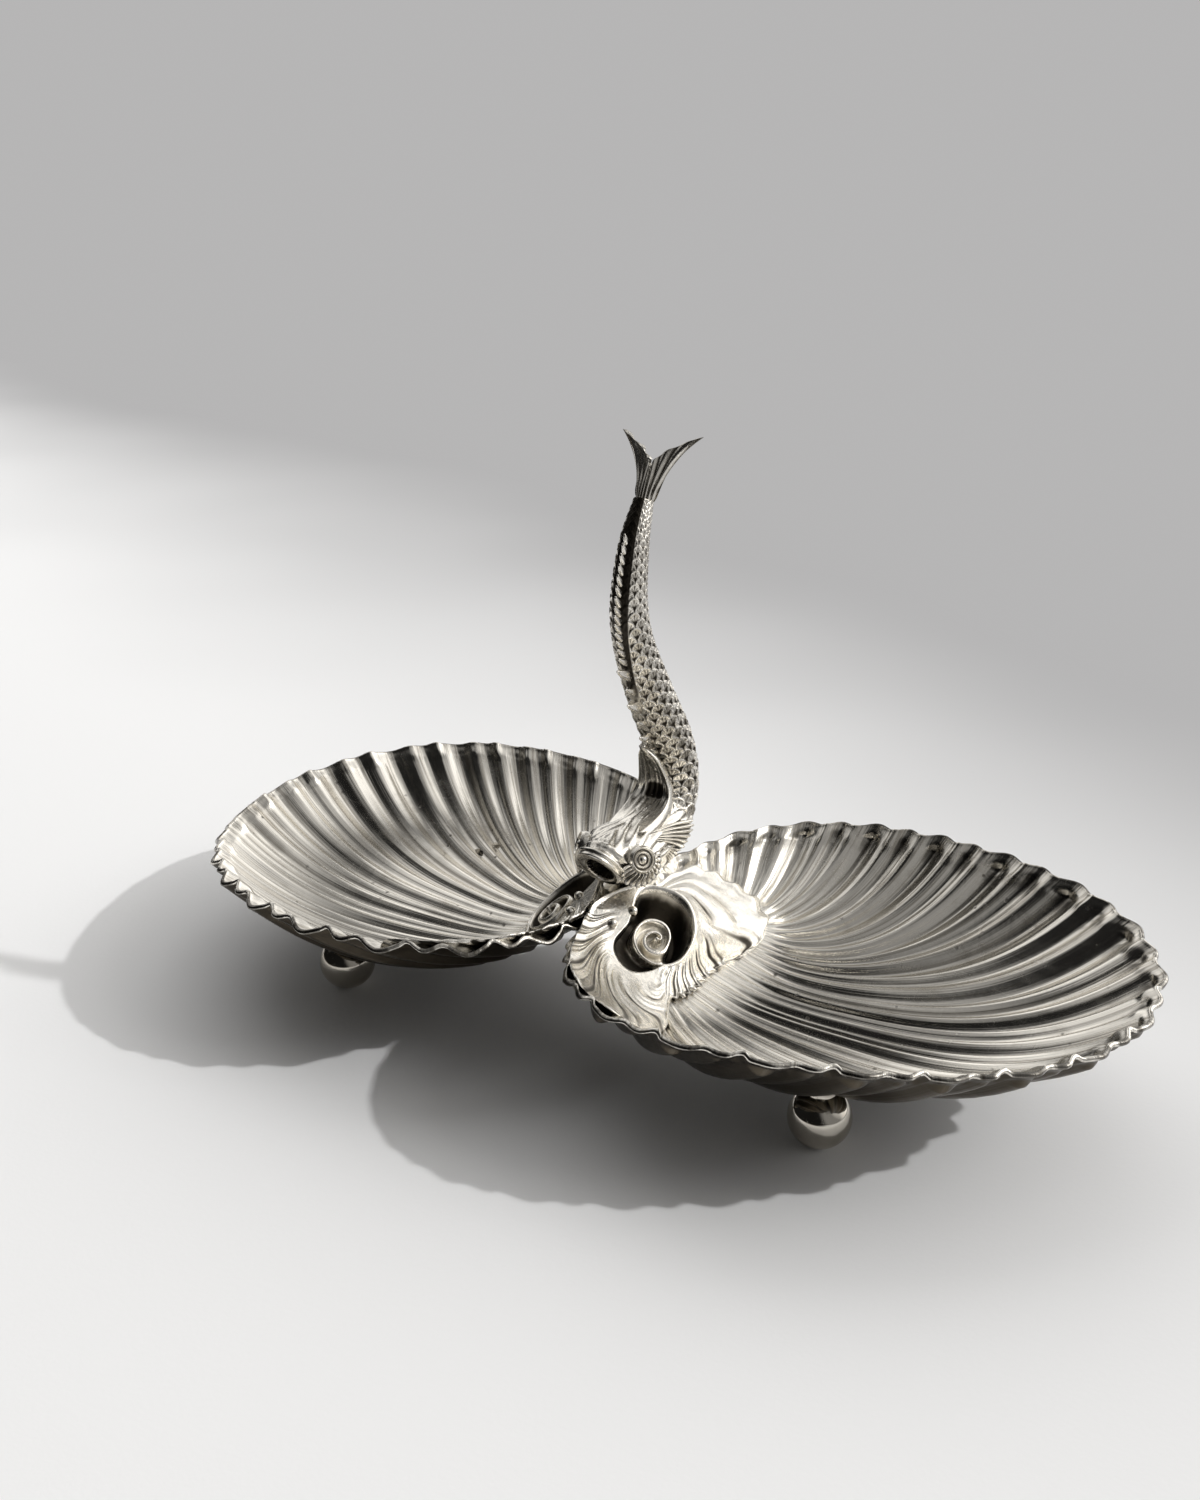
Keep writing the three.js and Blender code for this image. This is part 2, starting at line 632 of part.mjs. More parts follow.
function fish() {
  const group = new THREE.Group();
  group.add(piece('fish_body', fishBody(), CAST_SILVER));
  group.add(piece('fish_tail', fishTail(), CAST_SILVER));
  group.add(piece('fish_crest', fishCrest(), CAST_SILVER));
  group.add(piece('fish_dorsal_comb', fishDorsalComb(), CAST_SILVER));
  group.add(...pair('fish_gill', fishGill(), CAST_SILVER));
  return group;
}

const dish = new THREE.Group();
dish.add(shells(), feet(), fixing(), fish());

export default dish;
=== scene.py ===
"""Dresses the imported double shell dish: two fluted bowls, their volutes, ball feet and the fish handle."""

import math
from types import SimpleNamespace

import bmesh
import bpy
from mathutils import Euler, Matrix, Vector


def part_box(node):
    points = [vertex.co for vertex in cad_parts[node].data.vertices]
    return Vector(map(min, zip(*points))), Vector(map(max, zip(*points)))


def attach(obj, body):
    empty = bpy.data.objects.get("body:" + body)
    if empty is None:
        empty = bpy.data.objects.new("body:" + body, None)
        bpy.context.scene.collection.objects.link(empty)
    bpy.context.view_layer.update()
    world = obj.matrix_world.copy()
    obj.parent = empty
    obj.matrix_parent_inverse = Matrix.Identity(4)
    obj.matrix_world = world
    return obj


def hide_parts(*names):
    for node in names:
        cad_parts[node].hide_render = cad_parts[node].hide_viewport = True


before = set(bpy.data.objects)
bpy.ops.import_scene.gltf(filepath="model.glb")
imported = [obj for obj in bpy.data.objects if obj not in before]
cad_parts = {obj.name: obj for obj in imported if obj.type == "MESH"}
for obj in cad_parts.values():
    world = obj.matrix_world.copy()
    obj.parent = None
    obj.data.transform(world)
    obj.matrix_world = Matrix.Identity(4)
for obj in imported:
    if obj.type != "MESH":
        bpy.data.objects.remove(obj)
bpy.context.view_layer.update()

bl_info = {
    "name": "Double shell dish",
    "version": (1, 0, 0),
    "blender": (4, 5, 0),
    "location": "3D View > Sidebar > Dish",
    "description": "Builds the bowls, volutes, feet and fish handle of a double shell dish",
    "category": "Object",
}

FULL_TURN = 2 * math.pi
MERGE = 1e-6
MILLI = 0.001

# The volute's border, where the flutes start: a point for each sixteenth of the way round the rim,
# as shares of the rim's radius from where the bowls meet
BORDER = (
    (0.395, -0.031), (0.403, 0.104), (0.43, 0.232), (0.438, 0.31),
    (0.435, 0.381), (0.398, 0.442), (0.291, 0.476), (0.092, 0.376),
    (0.045, 0.043), (0.071, -0.284), (0.156, -0.369), (0.241, -0.398),
    (0.32, -0.384), (0.381, -0.334), (0.406, -0.256), (0.405, -0.142),
)

# The coil that winds out from the spiral's boss to the lip: its radius in millimetres in the volute's own
# face, at each twelfth of a turn, and the winding at which it has shrunk to nothing
COIL_ZERO = -760
COIL_START = -600
COIL_END = 180
COIL = (
    2.4, 2.7, 3.2, 3.6, 3.8, 3.8, 3.7, 3.5, 3.7, 4.7, 5.9, 6.3, 6.2, 6.0,
    6.0, 6.1, 6.6, 7.2, 7.8, 8.5, 9.9, 13.0, 16.9, 17.3, 17.2, 19.4, 23.5,
)

# The two small studs on the pad: distance from the boss and angle in the face
PAD_STUDS = ((0.0103, 127), (0.0125, 165))

# Where the pit beside the coil ends at the foot of the pad, by angle in the face from 90 degrees on
PAD_START = 90
PAD_END = 290
PAD_EDGE = (17.2, 14.4, 10.4, 8.8, 9.6, 11.8, 13.0, 13.2, 10.6, 8.6, 7.6)

# The crest's stations from the forehead to its tip: the hollow's place to the back and up, then an edge's
# place out to the side, back and up
CREST = (
    (-8.0, 55.2, 3.6, -8.0, 54.4), (1.0, 56.7, 5.6, 1.0, 56.2), (9.5, 57.6, 6.0, 8.6, 57.9),
    (15.2, 59.8, 5.7, 13.0, 60.6), (16.6, 63.6, 4.7, 14.2, 64.3), (15.2, 68.2, 3.6, 12.5, 69.5),
    (12.2, 72.2, 2.4, 10.4, 73.4), (8.3, 76.2, 0.25, 8.1, 76.4),
)

# The fish from the tail's root to the lips: place behind the stud and above the seat, half width and depth
FISH_STATIONS = (
    (5.0, 104.7, 2.5, 2.8), (0.2, 93.7, 3.8, 4.2), (-2.1, 78.7, 4.7, 5.1), (0.8, 66.4, 5.2, 5.6),
    (9.9, 49.7, 6.1, 6.5), (20.3, 32.7, 6.8, 6.8), (21.7, 19.6, 7.6, 7.4), (14.5, 11.2, 8.6, 8.6),
    (3.0, 8.4, 9.0, 9.0), (-7.0, 8.8, 8.3, 8.2), (-12.8, 9.0, 6.9, 7.0), (-16.6, 9.0, 6.3, 6.3),
)

# The gill's two fans of strands: root to the back and up, reach, first and last angle, strands and lift
GILL_FANS = (
    ((0.003, 0.0505), 0.0165, -46, -14, 5, 0.0003),
    ((-0.002, 0.0545), 0.0235, -20, 6, 6, 0.0006),
)
GILL_ROWS, GILL_THICK = 26, 0.0007
GILL_SWELL, GILL_CURL, GILL_DROOP = 0.0007, 0.0005, 0.14

# Columns of the grid for each strand of the gill and each flute of the eye's frill
STRAND_COLUMNS = 12

# The eye: its share, turn and lift on the skin, its shift from there and the way it faces
EYE_ON_SKIN = (0.83, 0.06, 0.0012)
EYE_SHIFT = (0.0002, -0.0022, 0.0018)
EYE_FACES = (0.78, -0.52, 0.34)
EYE_GRID = (48, 40)

# The frill round the eye: its flutes and the angles between which they stand
FRILL_FLUTES, FRILL_ROWS, FRILL_THICK = 13, 14, 0.0006
FRILL_FROM, FRILL_TO = -172, 8

# The share of the crest's width that is hollow, the ribs in it and their height
CREST_HOLLOW, CREST_RIBS, CREST_RIB = 0.74, 3.5, 0.0003
CREST_GRID, CREST_THICK = (52, 60), 0.0009

# The leaves on the body's front edge: how many steps, from which share of its length to which, and sizes
SMALL_LEAVES, SMALL_SPAN, SMALL_SIZES = 13, (0.09, 0.28), (0.0028, 0.0038)
LARGE_LEAVES, LARGE_SPAN, LARGE_SIZES = 5, (0.30, 0.435), (0.0060, 0.0042)
LEAF_GRID, LEAF_SINK = (16, 10), 0.0007

# The tail's rays, how far they stand out, and how far the middle of its root does
TAIL_RAYS, TAIL_RAY, TAIL_SWELL = 7, 0.00045, 0.0013
TAIL_GRID, TAIL_THICK = (80, 36), 0.0013

# The way to the sun, which lights the paper and stands in the world's window
SUN_WAY = (0.728, 0.344, 0.593)


# Settings

def length(name, description, default):
    return bpy.props.FloatProperty(
        name=name, description=description, default=default, unit="LENGTH", precision=5)


def turn_of(name, description, degrees):
    return bpy.props.FloatProperty(
        name=name, description=description, default=math.radians(degrees), subtype="ANGLE")


def part_of(name, description, default):
    return bpy.props.FloatProperty(
        name=name, description=description, default=default, min=0.0, max=1.0, subtype="FACTOR")


def number(name, description, default):
    return bpy.props.FloatProperty(name=name, description=description, default=default)


def count_of(name, description, default):
    return bpy.props.IntProperty(name=name, description=description, default=default, min=1)


def triple(name, description, default, **kind):
    return bpy.props.FloatVectorProperty(
        name=name, description=description, default=default, size=3, **kind)


def colour(name, description, default):
    return triple(name, description, default, min=0.0, max=1.0, subtype="COLOR")


class DishBowlSizes(bpy.types.PropertyGroup):
    """Sizes of the right-hand bowl; the left-hand one mirrors it."""
    centre_x: length("Middle across", "Middle of the rim from where the bowls meet", 0.06689)
    centre_y: length("Middle to the back", "Middle of the rim behind the dish's own middle", 0.003)
    rim_radius: length("Rim radius", "Mean radius of the rim at its ridges", 0.0704)
    oval: length("Oval", "How far the rim is drawn out two ways", 0.0037)
    oval_towards: turn_of("Oval towards", "Direction in which it is drawn out", 32.6)
    egg: length("Egg", "How far the rim is drawn out three ways", 0.0032)
    egg_towards: turn_of("Egg towards", "Direction of that swelling", 17.4)
    square: length("Square", "How far the rim is drawn out four ways", 0.0014)
    square_towards: turn_of("Square towards", "Direction of that swelling", 45)
    rim_height: length("Rim height", "Mean height of the rim", 0.04)
    lean: length("Lean", "How far the rim rises to one side", 0.0013)
    lean_towards: turn_of("Lean towards", "Direction in which it rises", 114)
    saddle: length("Saddle", "How far the rim rises at its front and back", 0.0036)
    saddle_towards: turn_of("Saddle towards", "Direction of that rise", 93.5)
    bottom: length("Bottom", "Height of the lowest point inside", 0.0136)
    steepness: number("Steepness", "Power by which the wall climbs to the rim", 2.8)
    wall: length("Wall", "Thickness of the wall", 0.0012)
    lip: length("Lip", "Radius of the rounded lip", 0.0008)
    flange: length("Flange", "How far the lip turns out and down", 0.0007)
    point: length("Point", "How far a leaf point stands up at the rim", 0.0012)
    gap: length("Gap", "Room between the two bowls where they meet", 0.0003)
    flute_pairs: count_of("Flute pairs", "Wide and narrow flutes round the rim, by pairs", 21)
    wide_share: part_of("Wide share", "Part of a pair that the wide flute takes", 0.58)
    wide_depth: length("Wide depth", "Depth of a wide flute at the rim", 0.0028)
    narrow_depth: length("Narrow depth", "Depth of a narrow flute at the rim", 0.0015)
    ridge: part_of("Ridge", "Roundness of the ridges between flutes", 0.2)
    line: length("Line", "Depth of the lines engraved beside the ridges", 0.0002)
    lobe: length("Lobe", "How far the rim bulges round the end of a flute", 0.001)
    draw_in: length("Draw in", "How far the ridges draw in at the rim", 0.0018)
    bend_right: part_of("Bend, right", "How square the right bowl's flutes leave the volute", 0.62)
    bend_left: part_of("Bend, left", "How square the left bowl's flutes leave the volute", 0.3)
    # Pocket shade: how far the flutes shut at the rim, leaving pockets at their ends, and how much shade is
    # painted in those pockets; the right bowl's get more
    soot_right: part_of("Shade, right", "How dark the ends of the right bowl's flutes are", 0.8)
    soot_left: part_of("Shade, left", "How dark the ends of the left bowl's flutes are", 0.2)


class DishVoluteSizes(bpy.types.PropertyGroup):
    """Sizes of the cast volute in each bowl."""
    boss: triple(
        "Boss", "Middle of the spiral", (0.01663, -0.01192, 0.03057), subtype="XYZ", unit="LENGTH")
    facing: triple(
        "Facing", "Way that the spiral faces", (0.508, -0.299, 0.808), subtype="DIRECTION")
    sideways: triple(
        "Sideways", "Way in its face from which angles count", (0.736, 0.638, -0.227), subtype="DIRECTION")
    edge: length("Edge", "Thickness of the lacy border", 0.0012)
    pad: length("Pad", "Height of the pad in front of the spiral over the bowl", 0.0016)
    pit: length("Pit", "Depth of the pit beside the coil", 0.0075)
    groove: length("Groove", "Depth of the groove in the spiral", 0.0022)
    bead: length("Bead", "Height of the bead along the coil and the lip", 0.0006)
    strand: length("Strand", "Depth of the strands on the flank", 0.00045)
    tooth: length("Tooth", "Length of the teeth along the border", 0.0018)
    teeth: count_of("Teeth", "Teeth round the border", 40)
    stud: length("Stud", "Radius of the small studs on the pad", 0.0014)


class DishFootSizes(bpy.types.PropertyGroup):
    """Sizes of the ball feet and their collars."""
    ball_radius: length("Ball radius", "Radius of a ball foot", 0.008)
    flat_radius: length("Flat radius", "Radius of the flat that a ball stands on", 0.002)
    collar_radius: length("Collar radius", "Radius of the collar between ball and bowl", 0.0042)
    collar_flare: length("Collar flare", "How far the collar flares under the bowl", 0.0014)


class DishFishSizes(bpy.types.PropertyGroup):
    """Sizes of the fish handle."""
    bottom: length("Bottom", "Height at which the head stands", 0.03986)
    meeting_y: length("Stud line", "Place of the stud, towards the back", 0.003)
    scales_round: count_of("Scales round", "Scales round the body", 9)
    scale_lift: number("Scale lift", "Height of a scale's edge as a share of the body's radius", 0.085)
    lip: length("Lip", "Radius of the rolled lips", 0.0011)
    mouth_depth: length("Mouth depth", "Depth of the open mouth", 0.008)
    mouth_tilt: number("Mouth tilt", "How far the upper lip reaches past the lower one", 0.75)
    eye: length("Eye", "Radius of the outer eye ring", 0.0037)
    tail_length: length("Tail length", "Height of the tail fin", 0.0178)
    tail_half_span: length("Tail half span", "Half the spread of the tail's tips", 0.012)


class DishFinish(bpy.types.PropertyGroup):
    """Colours of the metals and the stage."""
    silver: colour("Silver", "Clean polished silver", (0.90, 0.868, 0.80))
    # The tarnish colour also stands for painted shade: on the bowls' undersides, on the ball feet and where
    # the castings carry it in their hollow
    tarnish: colour("Tarnish", "Silver that has gone dark in the hollows", (0.21, 0.175, 0.125))
    # The grime colour also stands for painted shade: at the flute ends, on the lip, on the undersides, in
    # the castings' painted hollows and on the dark table beyond the paper
    grime: colour("Grime", "The darkest creases of the castings", (0.03, 0.025, 0.019))
    steel: colour("Steel", "Washer, nut and stud", (0.52, 0.52, 0.51))
    paper: colour("Paper", "The floor near the dish", (0.80, 0.80, 0.80))
    # The far paper colour is also painted on the floor far from the dish, as a grey glow of shade
    far_paper: colour("Far paper", "The floor far behind the dish", (0.47, 0.465, 0.465))


def plain(settings):
    """The settings as plain numbers, which are quick to read for every vertex."""
    return SimpleNamespace(**{key: getattr(settings, key) for key in settings.__annotations__})


# Small maths

def mix(start, end, share):
    return start + (end - start) * share


def climb(start, end, value):
    """0 up to start, 1 from end on, and an even curve between them."""
    share = min(max((value - start) / (end - start), 0.0), 1.0)
    return share * share * (3 - 2 * share)


def mound(value):
    return math.exp(-value * value)


def even_spline(before, start, end, after, share):
    """A point of the curve through evenly timed points, between start and end."""
    pull = (end - before) * 0.5
    push = (after - start) * 0.5
    bend = 2 * (start - end) + pull + push
    turn = 3 * (end - start) - 2 * pull - push
    return ((bend * share + turn) * share + pull) * share + start


def round_table(table, share):
    """A value of a table that runs once round, at a share of the way."""
    place = (share % 1.0) * len(table)
    at = int(place) % len(table)
    near = [table[(at + step) % len(table)] for step in (-1, 0, 1, 2)]
    return even_spline(*near, place - int(place))


def line_table(table, share):
    """A value of a table that runs from one end to the other, at a share of the way."""
    last = len(table) - 1
    place = min(max(share, 0.0), 1.0) * last
    at = min(int(place), last - 1)
    before = table[at - 1] if at else table[0] * 2 - table[1]
    after = table[at + 2] if at + 2 <= last else table[last] * 2 - table[last - 1]
    return even_spline(before, table[at], table[at + 1], after, place - at)


# Shapes

def add_grid(shape, columns, rows, place):
    """Adds a grid to the shape and moves each vertex to place(across, along), which also gives its hollow.

    Each vertex keeps where it was on the grid, across as a turn, so that a finish can follow the flutes.
    """
    layers = shape.verts.layers
    hollow = layers.float.get("hollow") or layers.float.new("hollow")
    grid = layers.float_vector.get("grid") or layers.float_vector.new("grid")
    made = bmesh.ops.create_grid(shape, x_segments=columns, y_segments=rows, size=0.5)
    for vert in made["verts"]:
        across, along = vert.co.x + 0.5, vert.co.y + 0.5
        turn = FULL_TURN * across
        vert[grid] = (math.cos(turn), math.sin(turn), along)
        vert.co, vert[hollow] = place(across, along)


def close_up(shape):
    """Merges the seams and poles of a wrapped grid and turns its faces out."""
    bmesh.ops.remove_doubles(shape, verts=shape.verts, dist=MERGE)
    bmesh.ops.dissolve_degenerate(shape, edges=shape.edges, dist=MERGE)
    bmesh.ops.recalc_face_normals(shape, faces=shape.faces)


def thicken(shape, thickness):
    """Gives an open sheet its thickness."""
    close_up(shape)
    bmesh.ops.solidify(shape, geom=shape.faces, thickness=thickness)
    bmesh.ops.recalc_face_normals(shape, faces=shape.faces)


def wrapped(columns, rows, place):
    shape = bmesh.new()
    add_grid(shape, columns, rows, place)
    close_up(shape)
    return shape


def mirrored(shape):
    """The shape on the other side of the plane where the bowls meet."""
    other = shape.copy()
    bmesh.ops.scale(other, vec=(-1, 1, 1), verts=other.verts)
    bmesh.ops.reverse_faces(other, faces=other.faces)
    return other


def deliver(shape, name, material, slot, *nodes):
    """Makes the shape a smooth piece of the dish in place of the named CAD nodes."""
    mesh = bpy.data.meshes.new(name)
    shape.to_mesh(mesh)
    shape.free()
    mesh.shade_smooth()
    mesh.materials.append(material)
    piece = bpy.data.objects.new(name, mesh)
    bpy.context.scene.collection.objects.link(piece)
    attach(piece, "root")
    if nodes:
        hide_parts(*nodes)


# Bowl surface

class Bowl:
    """The right-hand bowl's surface: its plan, its height and its flutes."""
    SLOPE_STEP = 0.0004
    BORDER_STEP = 0.02
    ROUND_SIDES = 0.9
    LINE_PLACE, LINE_WIDTH = 0.045, 0.018
    LEAF_START, LEAF_END = 0.66, 0.1
    SMALL_LEAF, SMALL_LEAF_WIDTH = 0.4, 0.08

    def __init__(self, sizes, bend):
        self.size = plain(sizes)
        self.bend = bend
        self.border = [Vector(point) * self.size.rim_radius for point in BORDER]

    def rim_radius(self, angle):
        size = self.size
        return (size.rim_radius + size.oval * math.cos(2 * (angle - size.oval_towards))
                + size.egg * math.cos(3 * (angle - size.egg_towards))
                + size.square * math.cos(4 * (angle - size.square_towards)))

    def rim_height(self, angle):
        size = self.size
        return (size.rim_height + size.lean * math.cos(angle - size.lean_towards)
                + size.saddle * math.cos(2 * (angle - size.saddle_towards)))

    def height(self, x, y):
        size = self.size
        right, back = x - size.centre_x, y - size.centre_y
        angle = math.atan2(back, right)
        share = math.hypot(right, back) / self.rim_radius(angle)
        return size.bottom + (self.rim_height(angle) - size.bottom) * share ** size.steepness

    def normal(self, x, y):
        step = self.SLOPE_STEP
        slope_x = (self.height(x + step, y) - self.height(x - step, y)) / (2 * step)
        slope_y = (self.height(x, y + step) - self.height(x, y - step)) / (2 * step)
        return Vector((-slope_x, -slope_y, 1)).normalized()

    def root(self, angle):
        return round_table(self.border, angle / FULL_TURN)

    def tip(self, angle):
        radius = self.rim_radius(angle)
        return Vector((self.size.centre_x + radius * math.cos(angle),
                       self.size.centre_y + radius * math.sin(angle)))

    def rib(self, angle):
        """Root, turning point and tip of the line that a flute follows in plan."""
        root, tip = self.root(angle), self.tip(angle)
        along = self.root(angle + self.BORDER_STEP) - self.root(angle - self.BORDER_STEP)
        square = Vector((along.y, -along.x)).normalized()
        middle = (root + tip) / 2
        return root, middle.lerp(root + square * ((tip - root).length / 2), self.bend), tip

    def flute(self, turn):
        """Depth of a flute, how far in it a place is, its engraved line and its leaf point.

        How far in runs from 0 on a ridge to 1 in the flute's middle.
        """
        size = self.size
        share = turn % 1.0
        if share < size.wide_share:
            depth, across = size.wide_depth, share / size.wide_share
        else:
            depth, across = size.narrow_depth, (share - size.wide_share) / (1 - size.wide_share)
        across = mix(across, across * across * (3 - 2 * across), self.ROUND_SIDES)
        inside = 4 * across * (1 - across)
        soft = size.ridge
        inside = (math.sqrt(inside * inside + soft * soft) - soft) / (math.sqrt(1 + soft * soft) - soft)
        line = mound((0.5 - abs(across - 0.5) - self.LINE_PLACE) / self.LINE_WIDTH)
        point = max(climb(self.LEAF_START, 1.0, share), 1 - climb(0, self.LEAF_END, share)) ** 2
        point += self.SMALL_LEAF * mound((share - size.wide_share) / self.SMALL_LEAF_WIDTH)
        return depth, inside, line, point

    def point(self, x, y, sink):
        """The bowl's surface sunk below its ridges, on its own side of the plane where the bowls meet."""
        place = Vector((x, y, self.height(x, y))) - self.normal(x, y) * sink
        place.x = max(place.x, self.size.gap / 2)
        return place


class Flutes:
    """The fluted sheet of a bowl, from the volute's middle out over the lip and back underneath.

    Its hollow is 0 on a ridge, up to 1 in a flute, about 1.3 at the flute ends and on the lip, where shade
    is painted, and 2 or so underneath, where shade is painted too.
    """
    PAIR_COLUMNS = 36
    HUB_ROWS = 4
    INNER_ROWS = 52
    LIP_ROWS = 6
    OUTER_ROWS = 26

    # Share of the inner rows that lie close to the rim, and how close
    RIM_ROWS = 0.32
    RIM_REACH = 0.0065

    # Distances from the rim: where flutes shut, where the rim swells, turns out and stands up in points
    SHUT_FROM, SHUT_TO = 0.0010, 0.0032
    SWELL_REACH = 0.008
    FLANGE_REACH = 0.0036
    POINT_FROM, POINT_TO = 0.0004, 0.006

    # The end of a flute, where shade is painted into its pockets: its place, and how far the shade spreads
    # to the rim and down the flute
    SOOT_PLACE, SOOT_TO_RIM, SOOT_TO_HUB = 0.0026, 0.0022, 0.006
    # Hollows that the finish reads as painted shade: at the flute ends, on the lip, on the underside (a
    # little lighter on the flutes' bulges) and on the hub's underside
    SOOT_HOLLOW, LIP_HOLLOW = 1.3, 1.2
    UNDER_HOLLOW, BULGE_HOLLOW, HUB_HOLLOW = 2.1, 0.32, 2.0
    # How far the pocket shade setting shuts the flutes at the rim and swells their lobes
    SHUT_BY_SOOT, LOBE_BY_SOOT = 0.85, 1.25

    def __init__(self, bowl, centre, soot):
        self.bowl = bowl
        self.centre = centre
        self.soot = soot
        self.rows = self.HUB_ROWS + self.INNER_ROWS + self.LIP_ROWS + self.OUTER_ROWS + self.HUB_ROWS
        self.columns = bowl.size.flute_pairs * self.PAIR_COLUMNS
        self.ribs = {}

    def rib(self, across):
        key = round(across * self.columns) % self.columns
        if key not in self.ribs:
            angle = FULL_TURN * key / self.columns
            flute = self.bowl.flute(self.bowl.size.flute_pairs * key / self.columns)
            self.ribs[key] = *self.bowl.rib(angle), *flute
        return self.ribs[key]

    def plan(self, across, reach):
        """Place of a fluted point from above, its depth and its share of the flute's hollow, raised where
        shade is painted at the flute's end.
        """
        root, middle, tip, depth, inside, line, point = self.rib(across)
        size = self.bowl.size
        plan = root * (1 - reach) ** 2 + middle * (2 * reach * (1 - reach)) + tip * reach ** 2
        left = (1 - reach) * (tip - root).length
        end = climb(self.SHUT_FROM, self.SHUT_TO, left)
        near = 1 - climb(0, self.SWELL_REACH, left)
        lobe = size.lobe * min(self.LOBE_BY_SOOT * self.soot, 1)
        swell = (lobe * inside * (depth / size.wide_depth) ** 0.5 - size.draw_in) * near
        out = (tip - middle).normalized() if (tip - middle).length > MERGE else Vector((0, 0))
        start = climb(0, 0.16, reach)
        shut = mix(1 - self.SHUT_BY_SOOT * self.soot, 1.0, end)
        sink = depth * inside * (0.5 * start + 0.5 * reach) * shut
        sink += size.flange * (1 - climb(0, self.FLANGE_REACH, left))
        sink += size.line * line * climb(0.25, 0.6, reach) * end
        sink -= size.point * point * (1 - climb(self.POINT_FROM, self.POINT_TO, left))
        # Painted shade at the flute's end, spreading to the rim and down the flute
        spread = self.SOOT_TO_RIM if left < self.SOOT_PLACE else self.SOOT_TO_HUB
        pocket_shade = mound((left - self.SOOT_PLACE) / spread)
        pocket_shade *= self.soot * climb(0.25, 0.8, inside)
        hollow = max(inside * reach, line * climb(0.2, 0.5, reach))
        return plan + out * swell, sink, hollow + pocket_shade * (self.SOOT_HOLLOW - hollow)

    def reach(self, across, step):
        """Share of the way to the rim for a share of the rows, closer together near the rim."""
        root, _, tip, *_ = self.rib(across)
        near = max(1 - self.RIM_REACH / max((tip - root).length, MERGE), 0.4)
        if step > 1 - self.RIM_ROWS:
            return mix(near, 1, (step - 1 + self.RIM_ROWS) / self.RIM_ROWS)
        return near * step / (1 - self.RIM_ROWS)

    def side(self, across, step, wall):
        plan, sink, inside = self.plan(across, self.reach(across, step))
        return self.bowl.point(plan.x, plan.y, sink + wall), inside

    def hub(self, across, step, wall):
        plan = self.centre.lerp(self.rib(across)[0], step)
        return self.bowl.point(plan.x, plan.y, wall), 0.0

    def place(self, across, along):
        size = self.bowl.size
        row = round(along * self.rows)
        if row < self.HUB_ROWS:
            return self.hub(across, row / self.HUB_ROWS, 0)
        row -= self.HUB_ROWS
        if row <= self.INNER_ROWS:
            return self.side(across, row / self.INNER_ROWS, 0)
        row -= self.INNER_ROWS
        if row < self.LIP_ROWS:
            inner, _ = self.side(across, 1, 0)
            outer, _ = self.side(across, 1, size.wall)
            before, _ = self.side(across, 0.97, 0)
            thick = (inner - outer).normalized()
            out = inner - before
            out = (out - thick * out.dot(thick)).normalized()
            bow = math.pi * row / self.LIP_ROWS
            spot = (inner + outer) / 2 + (thick * math.cos(bow) + out * math.sin(bow)) * size.lip
            spot.x = max(spot.x, size.gap / 2)
            point = self.rib(across)[-1]
            # Painted shade on the lip, left off at the leaf points
            return spot, self.LIP_HOLLOW * (1 - climb(0.1, 0.6, point))
        row -= self.LIP_ROWS
        if row <= self.OUTER_ROWS:
            spot, _ = self.side(across, 1 - row / self.OUTER_ROWS, size.wall)
            bulge = self.rib(across)[4]
            # Painted shade on the underside, a little lighter on the flutes' bulges
            return spot, self.UNDER_HOLLOW - self.BULGE_HOLLOW * bulge
        row -= self.OUTER_ROWS
        # Painted shade on the underside of the hub
        return self.hub(across, 1 - row / self.HUB_ROWS, size.wall)[0], self.HUB_HOLLOW

    def shape(self):
        return wrapped(self.columns, self.rows, self.place)


# Volute

